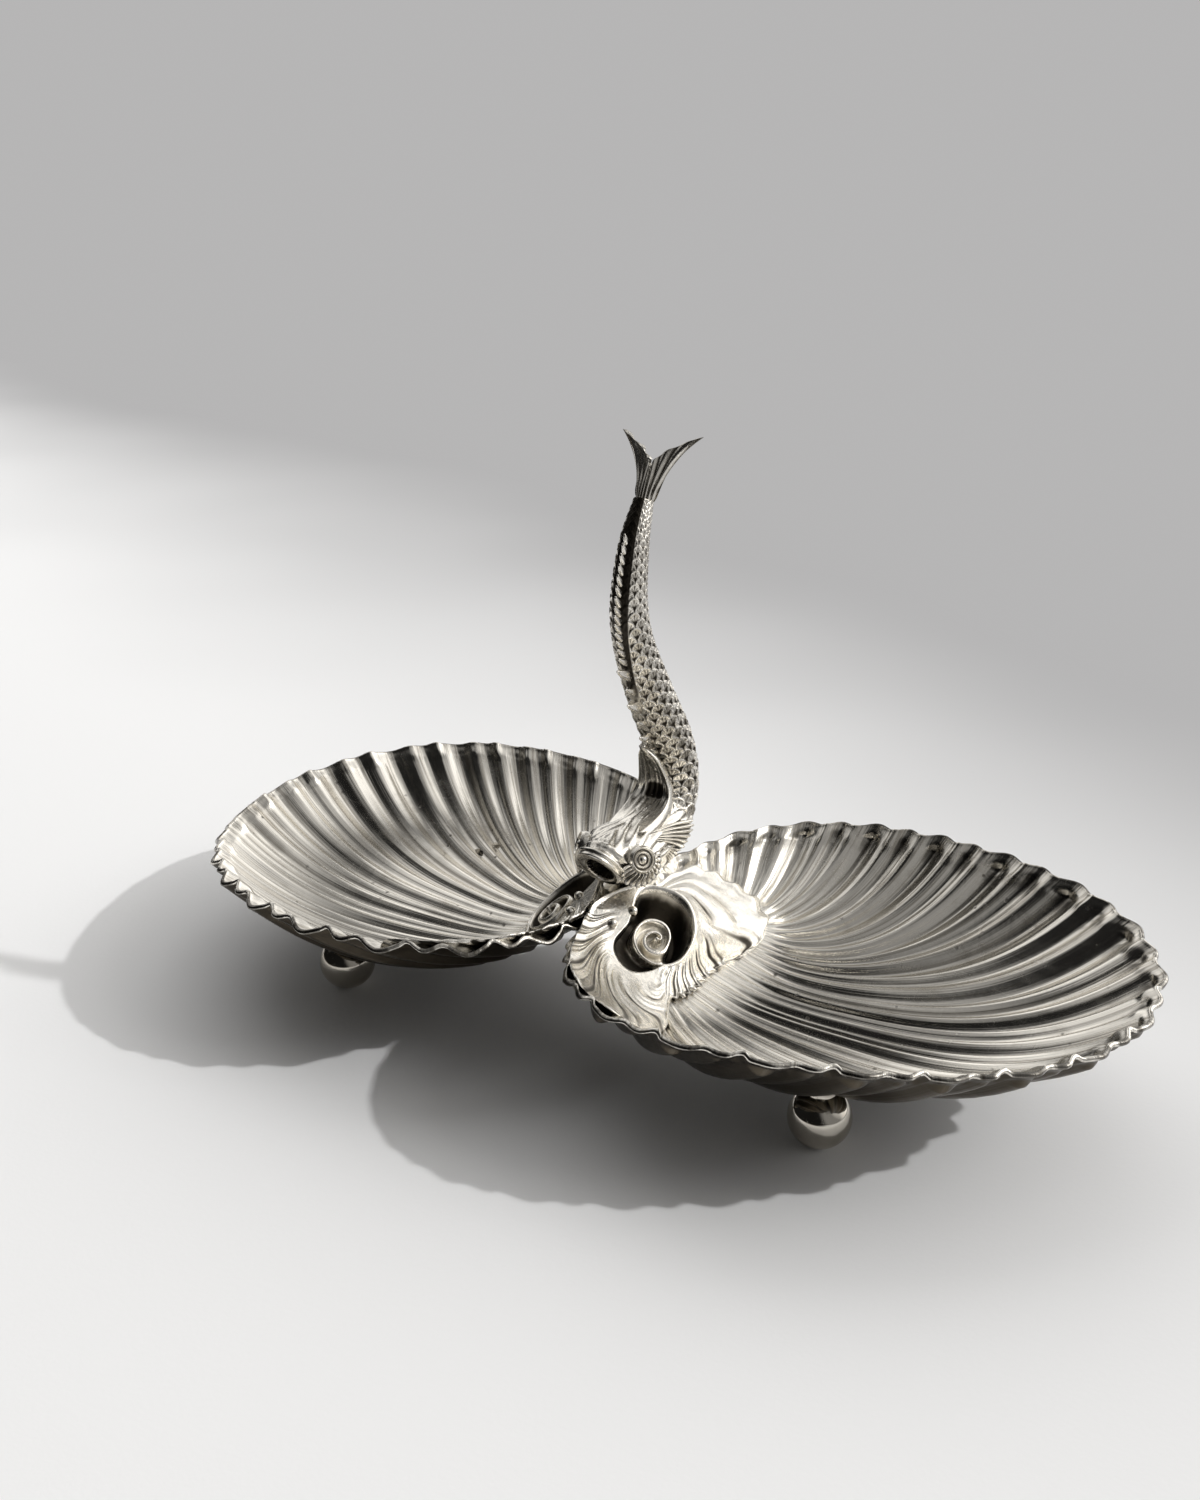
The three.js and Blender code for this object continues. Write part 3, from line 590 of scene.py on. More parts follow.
class Volute:
    """The cast volute over the bowl's hub: a coil in a pit, its lip, a strand flank and a lined pad."""
    FIRST_ANGLE = -70
    LINE_STEPS = 720
    COLUMNS = 432
    COIL_ROWS = 44
    PIT_ROWS = 34
    FLANK_ROWS = 56
    UNDER_ROWS = 8

    # Room kept from the plane where the bowls meet, and over the bowl at the deepest and highest places
    MIDDLE_ROOM = 0.0006
    DEEP_ROOM, HIGH_ROOM = 0.0002, 0.001
    SOFT_LIFT = 0.0008
    UNDER_SINK = 0.0003
    RIM_SHARE = 0.975
    STUD_LIFT = 0.0002

    # The boss in the middle of the coil, the grooves across the back of the flank and the lines on the pad
    BOSS_DOME, BOSS_REACH, BOSS_PIP, PIP_WIDTH = 0.0007, 0.006, 0.0009, 0.0014
    BACK_GROOVE, BACK_EDGE = 0.0014, 0.0012
    LEAF_LINE, FINE_LINE = 0.00032, 0.00014

    def __init__(self, bowl, sizes):
        self.bowl = bowl
        self.size = plain(sizes)
        self.boss = Vector(self.size.boss)
        self.facing = Vector(self.size.facing).normalized()
        self.sideways = Vector(self.size.sideways).normalized()
        self.upward = self.facing.cross(self.sideways)
        self.rows = self.COIL_ROWS + self.PIT_ROWS + self.FLANK_ROWS + self.UNDER_ROWS
        self.border = self.by_angle(bowl.root)
        self.rim = self.by_angle(lambda angle: bowl.root(angle).lerp(bowl.tip(angle), self.RIM_SHARE))

    def by_angle(self, line):
        """Points of a line round the bowl with their angles in the face, in rising order."""
        found = []
        for step in range(self.LINE_STEPS):
            spot = line(FULL_TURN * step / self.LINE_STEPS)
            away = Vector((spot.x, spot.y, self.bowl.height(spot.x, spot.y))) - self.boss
            angle = math.degrees(math.atan2(away.dot(self.upward), away.dot(self.sideways)))
            found.append(((angle - self.FIRST_ANGLE) % 360 + self.FIRST_ANGLE, spot))
        found.sort(key=lambda entry: entry[0])
        first, last = found[0], found[-1]
        return [(last[0] - 360, last[1]), *found, (first[0] + 360, first[1])]

    def point_at(self, line, angle):
        """The point of such a line at an angle."""
        low, high = 0, len(line) - 1
        while high - low > 1:
            middle = (low + high) // 2
            if line[middle][0] <= angle:
                low = middle
            else:
                high = middle
        before, after = line[low], line[high]
        share = (angle - before[0]) / max(after[0] - before[0], MERGE)
        return before[1].lerp(after[1], min(max(share, 0.0), 1.0))

    def reach_to(self, spot):
        """Distance from the boss in the face to a point of the bowl."""
        away = Vector((spot.x, spot.y, self.bowl.height(spot.x, spot.y))) - self.boss
        return math.hypot(away.dot(self.sideways), away.dot(self.upward))

    def coil(self, winding):
        share = (winding - COIL_START) / (COIL_END - COIL_START)
        return line_table(COIL, share) * MILLI * climb(COIL_ZERO, COIL_START, winding) ** 0.5

    def pit_edge(self, angle):
        """How far out the pit beside the coil goes: to the lip, or to the pad's edge."""
        if angle < PAD_START:
            return self.coil(angle)
        edge = line_table(PAD_EDGE, (angle - PAD_START) / (PAD_END - PAD_START)) * MILLI
        edge = mix(self.coil(angle), edge, climb(PAD_START, PAD_START + 30, angle))
        return mix(edge, self.coil(angle - 360), climb(PAD_END - 25, PAD_END, angle))

    def on_face(self, angle, radius, height):
        """A point of the spiral's face, on its own side of the plane where the bowls meet."""
        turn = math.radians(angle)
        flat = self.sideways * (radius * math.cos(turn)) + self.upward * (radius * math.sin(turn))
        spot = self.boss + flat + self.facing * height
        spot.x = max(spot.x, self.MIDDLE_ROOM)
        return spot

    def clear(self, spot, room):
        """Lifts a point along the face's own way until it clears the bowl."""
        soft = self.SOFT_LIFT
        for _ in range(3):
            lack = self.bowl.height(spot.x, spot.y) + room - spot.z
            spot = spot + self.facing * (0.4 * (lack + math.sqrt(lack * lack + soft * soft)))
            soft *= 0.4
        spot.z = max(spot.z, self.bowl.height(spot.x, spot.y) + room * 0.9)
        return spot

    def add_studs(self, shape):
        """Adds the two small round studs on the pad."""
        for radius, angle in PAD_STUDS:
            if radius <= self.pit_edge(angle):
                spot, _ = self.in_channel(angle, radius)
            else:
                spot = self.clear(self.on_face(angle, radius, self.size.bead), self.size.pad)
            made = bmesh.ops.create_uvsphere(shape, u_segments=20, v_segments=12, radius=self.size.stud)
            bmesh.ops.translate(shape, vec=spot + self.facing * self.STUD_LIFT, verts=made["verts"])

    def channel(self, angle, radius):
        """Height, hollow and level at a radius: beads along the windings and channels between them."""
        size = self.size
        outer, inner, turn = self.pit_edge(angle), self.coil(angle - 360), 0
        while radius < inner and turn < 2:
            turn += 1
            outer, inner = inner, self.coil(angle - 360 * (turn + 1))
        winding = angle - 360 * turn
        gap = max(outer - inner, MERGE)
        between = min(max((radius - inner) / gap, 0.0), 1.0)
        deep = climb(-70, -15, winding)
        pad = climb(95, 125, winding) * (1 - climb(255, 285, winding))
        soft = mound((winding - 116) / 20)
        depth = mix(size.groove, min(size.pit, gap * 1.3) * mix(1.0, 0.62, pad), deep)
        fall = climb(mix(0.1, 0.02, deep), mix(0.42, 0.3, deep), between)
        foot = mix(mix(0.45, 0.78, pad), 0.12, soft)
        rise = climb(mix(0.62, foot, deep), mix(0.93, 1.0, deep), between)
        rise = rise ** mix(1.0, 1.5, pad * (1 - soft))
        height = size.bead * (1 - fall + rise) - depth * fall * (1 - rise)
        dome = self.BOSS_DOME * (1 - climb(0, self.BOSS_REACH, radius))
        height += dome + self.BOSS_PIP * mound(radius / self.PIP_WIDTH)
        hollow = fall * (1 - rise ** mix(5, 1.5, pad)) * climb(0.0004, 0.002, gap) * mix(0.6, 1.0, deep)
        return height, hollow, 1 - fall * (1 - rise)

    def in_channel(self, angle, radius):
        """A point of the coil or the pit beside it, clear of the bowl, and its hollow."""
        height, hollow, level = self.channel(angle, radius)
        room = self.DEEP_ROOM + self.HIGH_ROOM * level
        return self.clear(self.on_face(angle, radius, height), room), hollow

    def spiral_place(self, angle, row):
        """From the boss over the windings and the pit to the lip or the pad's edge."""
        first = mix(self.coil(angle - 360), self.coil(angle - 720), climb(200, PAD_END, angle))
        if row <= self.COIL_ROWS:
            radius = first * row / self.COIL_ROWS
        else:
            radius = mix(first, self.pit_edge(angle), (row - self.COIL_ROWS) / self.PIT_ROWS)
        return self.in_channel(angle, radius)

    def strands(self, angle, share):
        """The flank's leaf strands, which sweep round as they go out: their height and their creases."""
        swirl = math.radians(angle + 42 * share + 6 * math.sin(5 * share))
        broad = math.sin(swirl * 20)
        fine = math.sin(swirl * 60 + 1.2 * broad)
        grown = climb(0.03, 0.2, share) * (1 - climb(18, 40, angle) * (1 - climb(265, PAD_END, angle)))
        height = self.size.strand * (0.8 * broad + 0.35 * fine) * grown
        return height, grown * (0.42 - 0.36 * broad - 0.34 * fine)

    def flank_place(self, angle, share):
        """From the lip down the flank to the toothed border on the flutes."""
        size = self.size
        lip = self.on_face(angle, self.pit_edge(angle), size.bead)
        border = self.point_at(self.border, angle)
        away = (border - self.boss.xy).normalized()
        saw = abs((angle * size.teeth / 360) % 1.0 * 2 - 1)
        lacy = 1 - climb(60, 95, angle) * (1 - climb(265, PAD_END, angle))
        border = border + away * (size.tooth * (saw - 0.4) * climb(0.72, 1, share) * lacy)
        foot = Vector((border.x, border.y, self.bowl.height(border.x, border.y) + size.edge))
        spot = lip.lerp(foot, share)
        drop = (1 - share) ** 1.45
        spot.z = foot.z + (lip.z - foot.z) * drop + size.bead * 0.5 * mound(share / 0.05)
        relief, crease = self.strands(angle, share)
        back = climb(22, 42, angle) * (1 - climb(80, 98, angle))
        groove = mound((share - 0.28) / 0.055) + 0.7 * mound((share - 0.6) / 0.05)
        lift = relief - self.BACK_GROOVE * back * groove
        spot.z += lift + self.BACK_EDGE * back * mound((share - 0.93) / 0.06)
        return self.clear(spot, size.edge * 0.8), max(crease, 0.9 * back * groove)

    def pad_place(self, angle, share):
        """From the pit's edge over the pad, with its leaf lines, to the rim or the border."""
        size = self.size
        border, rim = self.point_at(self.border, angle), self.point_at(self.rim, angle)
        towards_rim = climb(135, 178, angle) * (1 - climb(235, 285, angle))
        reach = self.reach_to(border.lerp(rim, towards_rim))
        outer = mix(self.coil(min(angle, COIL_END)), reach, climb(150, 190, angle))
        inner = self.pit_edge(angle)
        radius = mix(inner, outer, share)
        spot = self.on_face(angle, radius, size.bead)
        spot = self.clear(spot, size.pad * mix(1, 0.55, share ** 2))
        leaf = climb(140, 185, angle) * (1 - climb(262, 288, angle)) * climb(0.1, 0.4, share)
        swirl = math.radians(angle - 34 * share + 5 * math.sin(7 * share))
        lines = math.sin(swirl * 21)
        fine = math.sin(swirl * 63 + 1.4 * lines)
        spot.z += leaf * (self.LEAF_LINE * lines + self.FINE_LINE * fine)
        spot.z += size.bead * (1 - leaf) * mound((share - 0.93) / 0.05)
        crease = leaf * (0.3 - 0.3 * lines - 0.4 * fine)
        if share > 0.96:
            ground = self.bowl.height(spot.x, spot.y) + self.DEEP_ROOM
            spot.z = mix(spot.z, ground, climb(0.96, 1.0, share))
        return spot, crease

    def outer_place(self, angle, share):
        pad = climb(84, 104, angle) * (1 - climb(268, 289, angle))
        if pad <= 0:
            return self.flank_place(angle, share)
        flank = self.flank_place(angle, share) if pad < 1 else (Vector(), 0)
        level = self.pad_place(angle, share)
        return flank[0].lerp(level[0], pad), mix(flank[1], level[1], pad)

    def place(self, across, along):
        angle = across * 360 + self.FIRST_ANGLE
        row = round(along * self.rows)
        if row <= self.COIL_ROWS + self.PIT_ROWS:
            return self.spiral_place(angle, row)
        row -= self.COIL_ROWS + self.PIT_ROWS
        if row <= self.FLANK_ROWS:
            return self.outer_place(angle, row / self.FLANK_ROWS)
        row -= self.FLANK_ROWS
        edge, _ = self.outer_place(angle, 1.0)
        plan = edge.xy.lerp(self.boss.xy, row / self.UNDER_ROWS)
        return self.bowl.point(plan.x, plan.y, self.UNDER_SINK), 1.0

    def shape(self):
        shape = wrapped(self.COLUMNS, self.rows, self.place)
        self.add_studs(shape)
        return shape


# Fish

class Fish:
    """The fish's body round its bent middle line, from the tail's root at 0 to the lips at 1."""
    SKIN_ROWS = 430
    MOUTH_ROWS = 26
    LIP_ROWS = 9
    COLUMNS = 160

    # Where the scales give way to the head, and how much further apart the head's rows are
    SCALES_END, SCALES_FADE = 0.615, 0.03
    HEAD_ROWS = 0.62
    LENGTH_STEPS = 1200
    SCALE_PITCH, SCALE_RAYS = 0.52, 16

    # The beads along the smooth belly band, and the smooth band down the front of the upper half, which is
    # darkened with painted shade
    BELLY_EDGE = (0.46, 0.54)
    BEAD_PLACE, BEAD_WIDTH, BEADS_PER_SCALE, BEAD_LIFT = 0.42, 0.07, 2.4, 0.6
    BAND_WIDE, BAND_NARROW, BAND_EDGE = 0.75, 0.3, 0.2
    BAND_TAPERS, BAND_ENDS = (0.1, 0.42), (0.28, 0.42)
    BAND_SMOOTH, BAND_DARK = 0.55, 1.15

    # Lift of the brow, the cheek and the swelling round the eye, then of the roll, crease and fold behind
    # the lips, the wrinkles above them and the coarse and fine veins of the forehead
    BROW, CHEEK, EYE_SWELLING = 0.0011, 0.0006, 0.0013
    LIP_ROLL, LIP_CREASE, LIP_FOLD = 0.0009, 0.0007, 0.0004
    WRINKLE, WRINKLE_RATE = 0.00022, 420
    VEIN, FINE_VEIN = 0.0003, 0.00012

    # The bulge of the rolled lip and the ridges inside the mouth
    LIP_BULGE, MOUTH_RIDGE, MOUTH_RIDGES = 0.0004, 0.0002, 24

    # The part of the body on which other pieces are set
    SIDE_START, SIDE_STEPS = 0.35, 120
    BESIDE_TURN, BESIDE_SINK = 0.3, 0.0004

    def __init__(self, sizes):
        self.size = plain(sizes)
        base = Vector((0, self.size.meeting_y, self.size.bottom))
        self.middles = [base + Vector((0, back, up)) * MILLI for back, up, _, _ in FISH_STATIONS]
        self.halves = [Vector((wide, deep)) * MILLI for _, _, wide, deep in FISH_STATIONS]
        self.rows = self.row_shares()
        self.scale_rows = self.count_scales()

    def middle(self, share):
        return line_table(self.middles, share)

    def half(self, share):
        return line_table(self.halves, share)

    def along(self, share):
        step = 0.002
        return (self.middle(share + step) - self.middle(share - step)).normalized()

    def across(self, share):
        """From the back edge of the body to its front edge."""
        along = self.along(share)
        return Vector((0, along.z, -along.y))

    def row_shares(self):
        """Shares of the rows, with more of them on the scaled part than on the head."""
        steps = self.LENGTH_STEPS
        tally = [0.0]
        for step in range(steps):
            here, there = step / steps, (step + 1) / steps
            stretch = (self.middle(there) - self.middle(here)).length
            tally.append(tally[-1] + stretch * (1.0 if here < self.SCALES_END else self.HEAD_ROWS))
        shares, at = [], 0
        for row in range(self.SKIN_ROWS + 1):
            want = tally[-1] * row / self.SKIN_ROWS
            while at < steps - 1 and tally[at + 1] < want:
                at += 1
            shares.append((at + (want - tally[at]) / (tally[at + 1] - tally[at])) / steps)
        return shares

    def count_scales(self):
        """Rows of scales passed from the tail to each row of the skin."""
        passed = [0.0]
        for before, after in zip(self.rows, self.rows[1:]):
            half = self.half((before + after) / 2)
            pitch = self.SCALE_PITCH * math.pi * (half.x + half.y) / self.size.scales_round
            passed.append(passed[-1] + (self.middle(after) - self.middle(before)).length / pitch)
        return passed

    def scale(self, across, passed):
        """Height of the overlapping scales, and how deep in a crease the place is."""
        round_place = across * self.size.scales_round
        row = math.floor(passed)
        for upper in (row, row - 1):
            along = passed - upper
            side = (round_place + 0.5 * (upper % 2) + 0.5) % 1.0 - 0.5
            width = 0.5 * math.sqrt(1 - (1 - along) ** 2) if along < 1 else 0.5
            if abs(side) <= width:
                break
        inset = (width - abs(side)) * 2 if along < 1 else 1.0
        edge = min(inset, along * 1.6)
        rim = mound((edge - 0.12) / 0.13)
        rays = 0.5 + 0.5 * math.cos(self.SCALE_RAYS * math.atan2(side, 1.25 - along))
        dip = climb(0.2, 0.5, edge) * (1 - climb(1.0, 1.5, along))
        height = 1 - 0.5 * along + 0.3 * rim - (0.14 + 0.2 * rays) * dip
        crease = max(climb(0.65, 1.3, along), (0.4 + 0.5 * rays) * dip, 1 - climb(0, 0.14, edge))
        return height, crease

    def belly(self, turn):
        """Angle from the middle of the back edge, where the smooth belly band runs."""
        return abs((turn - 0.75 * FULL_TURN + math.pi) % FULL_TURN - math.pi)

    def skin(self, share, turn, lift=0.0):
        """A point of the body's outside, at a share of its length and a turn round it."""
        half = self.half(share)
        spot = self.middle(share) + self.across(share) * ((half.y + lift) * math.sin(turn))
        spot.x += (half.x + lift) * math.cos(turn)
        return self.tilt(spot, share)

    def tilt(self, spot, share):
        """Leans the mouth, so that the upper lip reaches further than the lower one."""
        lean = self.size.mouth_tilt * climb(0.8, 0.985, share)
        spot.y -= lean * (spot.z - self.middle(share).z)
        spot.z = max(spot.z, self.size.bottom)
        return spot

    def head(self, share, turn):
        """Lift of the head's folds: brow, cheeks and the fold behind the lips."""
        up, side = math.sin(turn), abs(math.cos(turn))
        brow = self.BROW * mound((share - 0.83) / 0.05) * mound((side - 0.72) / 0.24) * (up > 0)
        fold = self.LIP_ROLL * mound((share - 0.972) / 0.018)
        fold -= self.LIP_CREASE * mound((share - 0.936) / 0.01)
        fold += self.LIP_FOLD * mound((share - 0.91) / 0.01)
        cheek = self.CHEEK * mound((share - 0.75) / 0.05) * climb(0.3, 0.9, side)
        cheek += self.EYE_SWELLING * mound((share - 0.825) / 0.034) * mound((up - 0.15) / 0.5)
        wave = math.sin(share * self.WRINKLE_RATE)
        wrinkle = self.WRINKLE * wave * mound((share - 0.89) / 0.022) * climb(-0.2, 0.5, up)
        return brow + fold + cheek + wrinkle

    def veins(self, share, turn):
        """Leaf veins over the forehead and cheeks: their lift and their creases."""
        up = math.sin(turn)
        mask = mound((share - 0.745) / 0.13) * climb(-0.35, 0.15, up)
        away = abs((turn + math.pi / 2) % FULL_TURN - math.pi)
        sway = math.sin(share * 11)
        wave = math.sin(19 * away + 9 * sway)
        fine = math.sin(57 * away + 27 * sway + wave)
        lift = self.VEIN * wave + self.FINE_VEIN * fine
        return mask * lift, mask * (0.35 - 0.4 * wave - 0.3 * fine)

    def skin_place(self, across, row):
        share = self.rows[row]
        turn = FULL_TURN * across
        half = self.half(share)
        radius = (half.x + half.y) / 2
        height, crease = self.scale(across, self.scale_rows[row])
        belly = self.belly(turn)
        end, fade = self.SCALES_END, self.SCALES_FADE
        scaled = climb(*self.BELLY_EDGE, belly) * (1 - climb(end - fade, end + fade, share))
        front = math.pi - belly
        wide = mix(self.BAND_WIDE, self.BAND_NARROW, climb(*self.BAND_TAPERS, share))
        band = (1 - climb(wide - self.BAND_EDGE, wide, front)) * (1 - climb(*self.BAND_ENDS, share))
        scaled *= 1 - self.BAND_SMOOTH * band
        beads = 0.5 + 0.5 * math.cos(FULL_TURN * self.scale_rows[row] * self.BEADS_PER_SCALE)
        bead = mound((belly - self.BEAD_PLACE) / self.BEAD_WIDTH) * (1 - climb(end, end + 0.05, share))
        lift = (height - 0.5) * scaled + self.BEAD_LIFT * bead * beads
        lift = self.size.scale_lift * radius * lift
        vein, shade = self.veins(share, turn)
        lift += self.head(share, turn) + vein
        # The front band's darkness is painted shade
        dark = max(crease * scaled, bead * (1 - beads), shade, self.BAND_DARK * band)
        dark = max(dark, 0.8 * mound((share - 0.938) / 0.008), 0.5 * mound((share - 0.89) / 0.008))
        return self.skin(share, turn, lift), dark

    def mouth_place(self, across, row):
        """The rolled lip and the hollow of the mouth behind it."""
        turn = FULL_TURN * across
        half = self.half(1)
        along, across_way = self.along(1), self.across(1)
        roll = self.LIP_ROWS
        lip = self.size.lip * (1.1 + 0.3 * math.sin(turn))
        if row <= roll:
            bow = math.pi * row / roll
            grow = lip * (math.cos(bow) - 1) + self.LIP_BULGE * math.sin(bow)
            ahead = lip * math.sin(bow)
            dark = 0.5 * row / roll
        else:
            deep = (row - roll) / (self.MOUTH_ROWS - roll)
            ridges = self.MOUTH_RIDGE * math.cos(self.MOUTH_RIDGES * turn) * (1 - deep)
            grow = mix(-2 * lip, -min(half.x, half.y), deep ** 1.8) + ridges
            ahead = -self.size.mouth_depth * math.sin(deep * math.pi / 2)
            dark = mix(0.5, 1.0, climb(0, 0.5, deep))
        spread = max(half.y + grow, 0), max(half.x + grow, 0)
        if row == self.MOUTH_ROWS:
            spread = 0, 0
        spot = self.middle(1) + along * ahead + across_way * (spread[0] * math.sin(turn))
        spot.x += spread[1] * math.cos(turn)
        return self.tilt(spot, 1), dark

    def body_place(self, across, along):
        total = self.SKIN_ROWS + self.MOUTH_ROWS + 1
        row = round(along * total)
        if row == 0:
            return self.middle(0), 0.0
        row -= 1
        if row <= self.SKIN_ROWS:
            return self.skin_place(across, row)
        return self.mouth_place(across, row - self.SKIN_ROWS)

    def body(self):
        return wrapped(self.COLUMNS, self.SKIN_ROWS + self.MOUTH_ROWS + 1, self.body_place)

    def side_x(self, y, z):
        """How far out the body's right side is at a place in the plane between the bowls."""
        share = self.nearest(y, z)
        half = self.half(share)
        off = (Vector((0, y, z)) - self.middle(share)).dot(self.across(share))
        inside = max(1 - (off / half.y) ** 2, 0.0)
        return half.x * math.sqrt(inside)

    def beside(self, spot):
        """The place on the skin a little further round the body than a point in front of it."""
        share = self.nearest(spot.y, spot.z)
        half = self.half(share)
        off = (spot - self.middle(share)).dot(self.across(share))
        turn = math.atan2(off / half.y, spot.x / half.x)
        return self.skin(share, turn - self.BESIDE_TURN, -self.BESIDE_SINK)

    def nearest(self, y, z):
        """Share of the middle line that is nearest to a place in the plane between the bowls."""
        def gap(share):
            middle = self.middle(share)
            return (middle.y - y) ** 2 + (middle.z - z) ** 2

        start, steps = self.SIDE_START, self.SIDE_STEPS
        return min((start + (1 - start) * step / steps for step in range(steps + 1)), key=gap)


def fish_gill(fish):
    """The right-hand gill leaf: strands that fan back from below the crest and end in points."""
    shape = bmesh.new()
    for root, reach, low, high, strands, lift in GILL_FANS:
        origin = Vector(root)

        def place(across, along):
            strand = across * strands
            ridge = 0.5 - 0.5 * math.cos(FULL_TURN * strand)
            angle = math.radians(mix(low, high, across))
            long = reach * (1 - 0.5 * (across - 0.55) ** 2) * mix(0.9, 1, ridge ** 0.5)
            way = mix(0.12, 1, along)
            y = origin.x + long * way * math.cos(angle)
            z = origin.y + long * way * math.sin(angle) - GILL_DROOP * long * way * way
            swell = GILL_SWELL * ridge * climb(0.1, 0.5, way)
            x = fish.side_x(y, z) + lift + swell + GILL_CURL * way ** 3
            return Vector((x, y, z)), (1 - ridge) * 0.95

        add_grid(shape, strands * STRAND_COLUMNS, GILL_ROWS, place)
    thicken(shape, GILL_THICK)
    return shape


def fish_eye(fish):
    """The right eye: a domed pupil in two rings, in a frill of short flutes."""
    spot = fish.skin(*EYE_ON_SKIN) + Vector(EYE_SHIFT)
    outward = Vector(EYE_FACES).normalized()
    upright = Vector((0, 0, 1))
    upright = (upright - outward * upright.dot(outward)).normalized()
    level = upright.cross(outward)
    eye = fish.size.eye

    def rings(round_share, way):
        turn = FULL_TURN * round_share
        reach = way * 1.08
        height = 0.30 * math.sqrt(max(1 - (reach / 0.34) ** 2, 0)) + 0.2 * mound((reach - 0.55) / 0.09)
        height += 0.26 * mound((reach - 0.88) / 0.1) + 0.12
        if way > 0.96:
            height -= 1.1
        if way > 0.99:
            reach = 0
        dark = max(mound((reach - 0.4) / 0.07), mound((reach - 0.72) / 0.07))
        flat = level * math.cos(turn) + upright * math.sin(turn)
        return spot + flat * (eye * reach) + outward * (eye * height), dark

    def frill(round_share, way):
        turn = math.radians(mix(FRILL_FROM, FRILL_TO, round_share))
        ridge = 0.5 - 0.5 * math.cos(FULL_TURN * round_share * FRILL_FLUTES)
        spread = 0.75 + 0.3 * math.sin(math.pi * round_share) + 0.12 * ridge
        reach = eye * mix(1.0, 1.0 + spread, way)
        flat = spot + (level * math.cos(turn) + upright * math.sin(turn)) * reach
        lift = 0.0003 + 0.0005 * ridge * math.sin(math.pi * min(way + 0.12, 1))
        skin = max(fish.side_x(flat.y, flat.z), flat.x - 0.0022) + 0.0006
        flat.x = mix(flat.x, skin, climb(0.0, 0.8, way))
        return flat + outward * lift, (1 - ridge) * 0.9

    fan = bmesh.new()
    add_grid(fan, FRILL_FLUTES * STRAND_COLUMNS, FRILL_ROWS, frill)
    thicken(fan, FRILL_THICK)
    return wrapped(*EYE_GRID, rings), fan


def fish_crest(fish):
    """The pointed hood that runs up from the forehead, hollow to the front, its flanks on the skin."""
    hollows = [Vector((0, back, up)) * MILLI for back, up, *_ in CREST]
    edges = [Vector(entry[2:]) * MILLI for entry in CREST]
    shape = bmesh.new()

    def place(across, along):
        side = across * 2 - 1
        out = abs(side)
        hollow, edge = line_table(hollows, along), line_table(edges, along)
        if out <= CREST_HOLLOW:
            share = out / CREST_HOLLOW
            spot = hollow.lerp(edge, share ** 1.7)
            spot.x = edge.x * share
            ribs = math.cos(FULL_TURN * CREST_RIBS * share)
            spot.y -= CREST_RIB * ribs * climb(0.15, 0.4, along) * (1 - share ** 4)
            patch = climb(0.36, 0.44, along) * (1 - climb(0.52, 0.62, along))
            dark = max(1.2 * climb(0.75, 0.35, share) * patch, 0.12 - 0.2 * ribs)
        else:
            share = (out - CREST_HOLLOW) / (1 - CREST_HOLLOW)
            behind = hollow + Vector((edge.x * 0.75, 0.0016, 0))
            foot = fish.beside(edge).lerp(behind, climb(0.4, 0.62, along))
            spot = edge.lerp(foot, share)
            spot.x += 0.0005 * math.sin(math.pi * share)
            dark = 0.3 * share
        spot.x = spot.x if side > 0 else -spot.x
        return spot, dark

    add_grid(shape, *CREST_GRID, place)
    thicken(shape, CREST_THICK)
    return shape


def fish_back_leaves(fish):
    """Pointed leaves along the front edge of the body: a fine comb above and larger leaves below."""
    shape = bmesh.new()
    leaves = []
    for step in range(SMALL_LEAVES + 1):
        way = step / SMALL_LEAVES
        leaves.append((mix(*SMALL_SPAN, way), mix(*SMALL_SIZES, way)))
    for step in range(LARGE_LEAVES + 1):
        leaves.append((mix(*LARGE_SPAN, step / LARGE_LEAVES), LARGE_SIZES[step % 2]))
    for share, grown in leaves:
        root = fish.skin(share, math.pi / 2, -LEAF_SINK)
        outward, upward = fish.across(share), -fish.along(share)

        def place(across, along):
            if along < 0.01:
                return root, 0.7
            turn, along = FULL_TURN * across, max((along - 0.1) / 0.9, 0)
            middle = root + outward * (0.8 * grown * along) + upward * (0.85 * grown * along ** 1.4)
            tall = 0.46 * grown * (1 - along) ** 0.5
            thick = min(0.001, 0.3 * grown) * (1 - along) ** 0.5
            vein = 1 - 0.25 * mound(math.cos(turn) / 0.3)
            spot = middle + upward * (tall * math.cos(turn))
            spot.x += thick * vein * math.sin(turn)
            return spot, 0.7 * (1 - climb(0.05, 0.5, along))

        add_grid(shape, *LEAF_GRID, place)
    close_up(shape)
    return shape


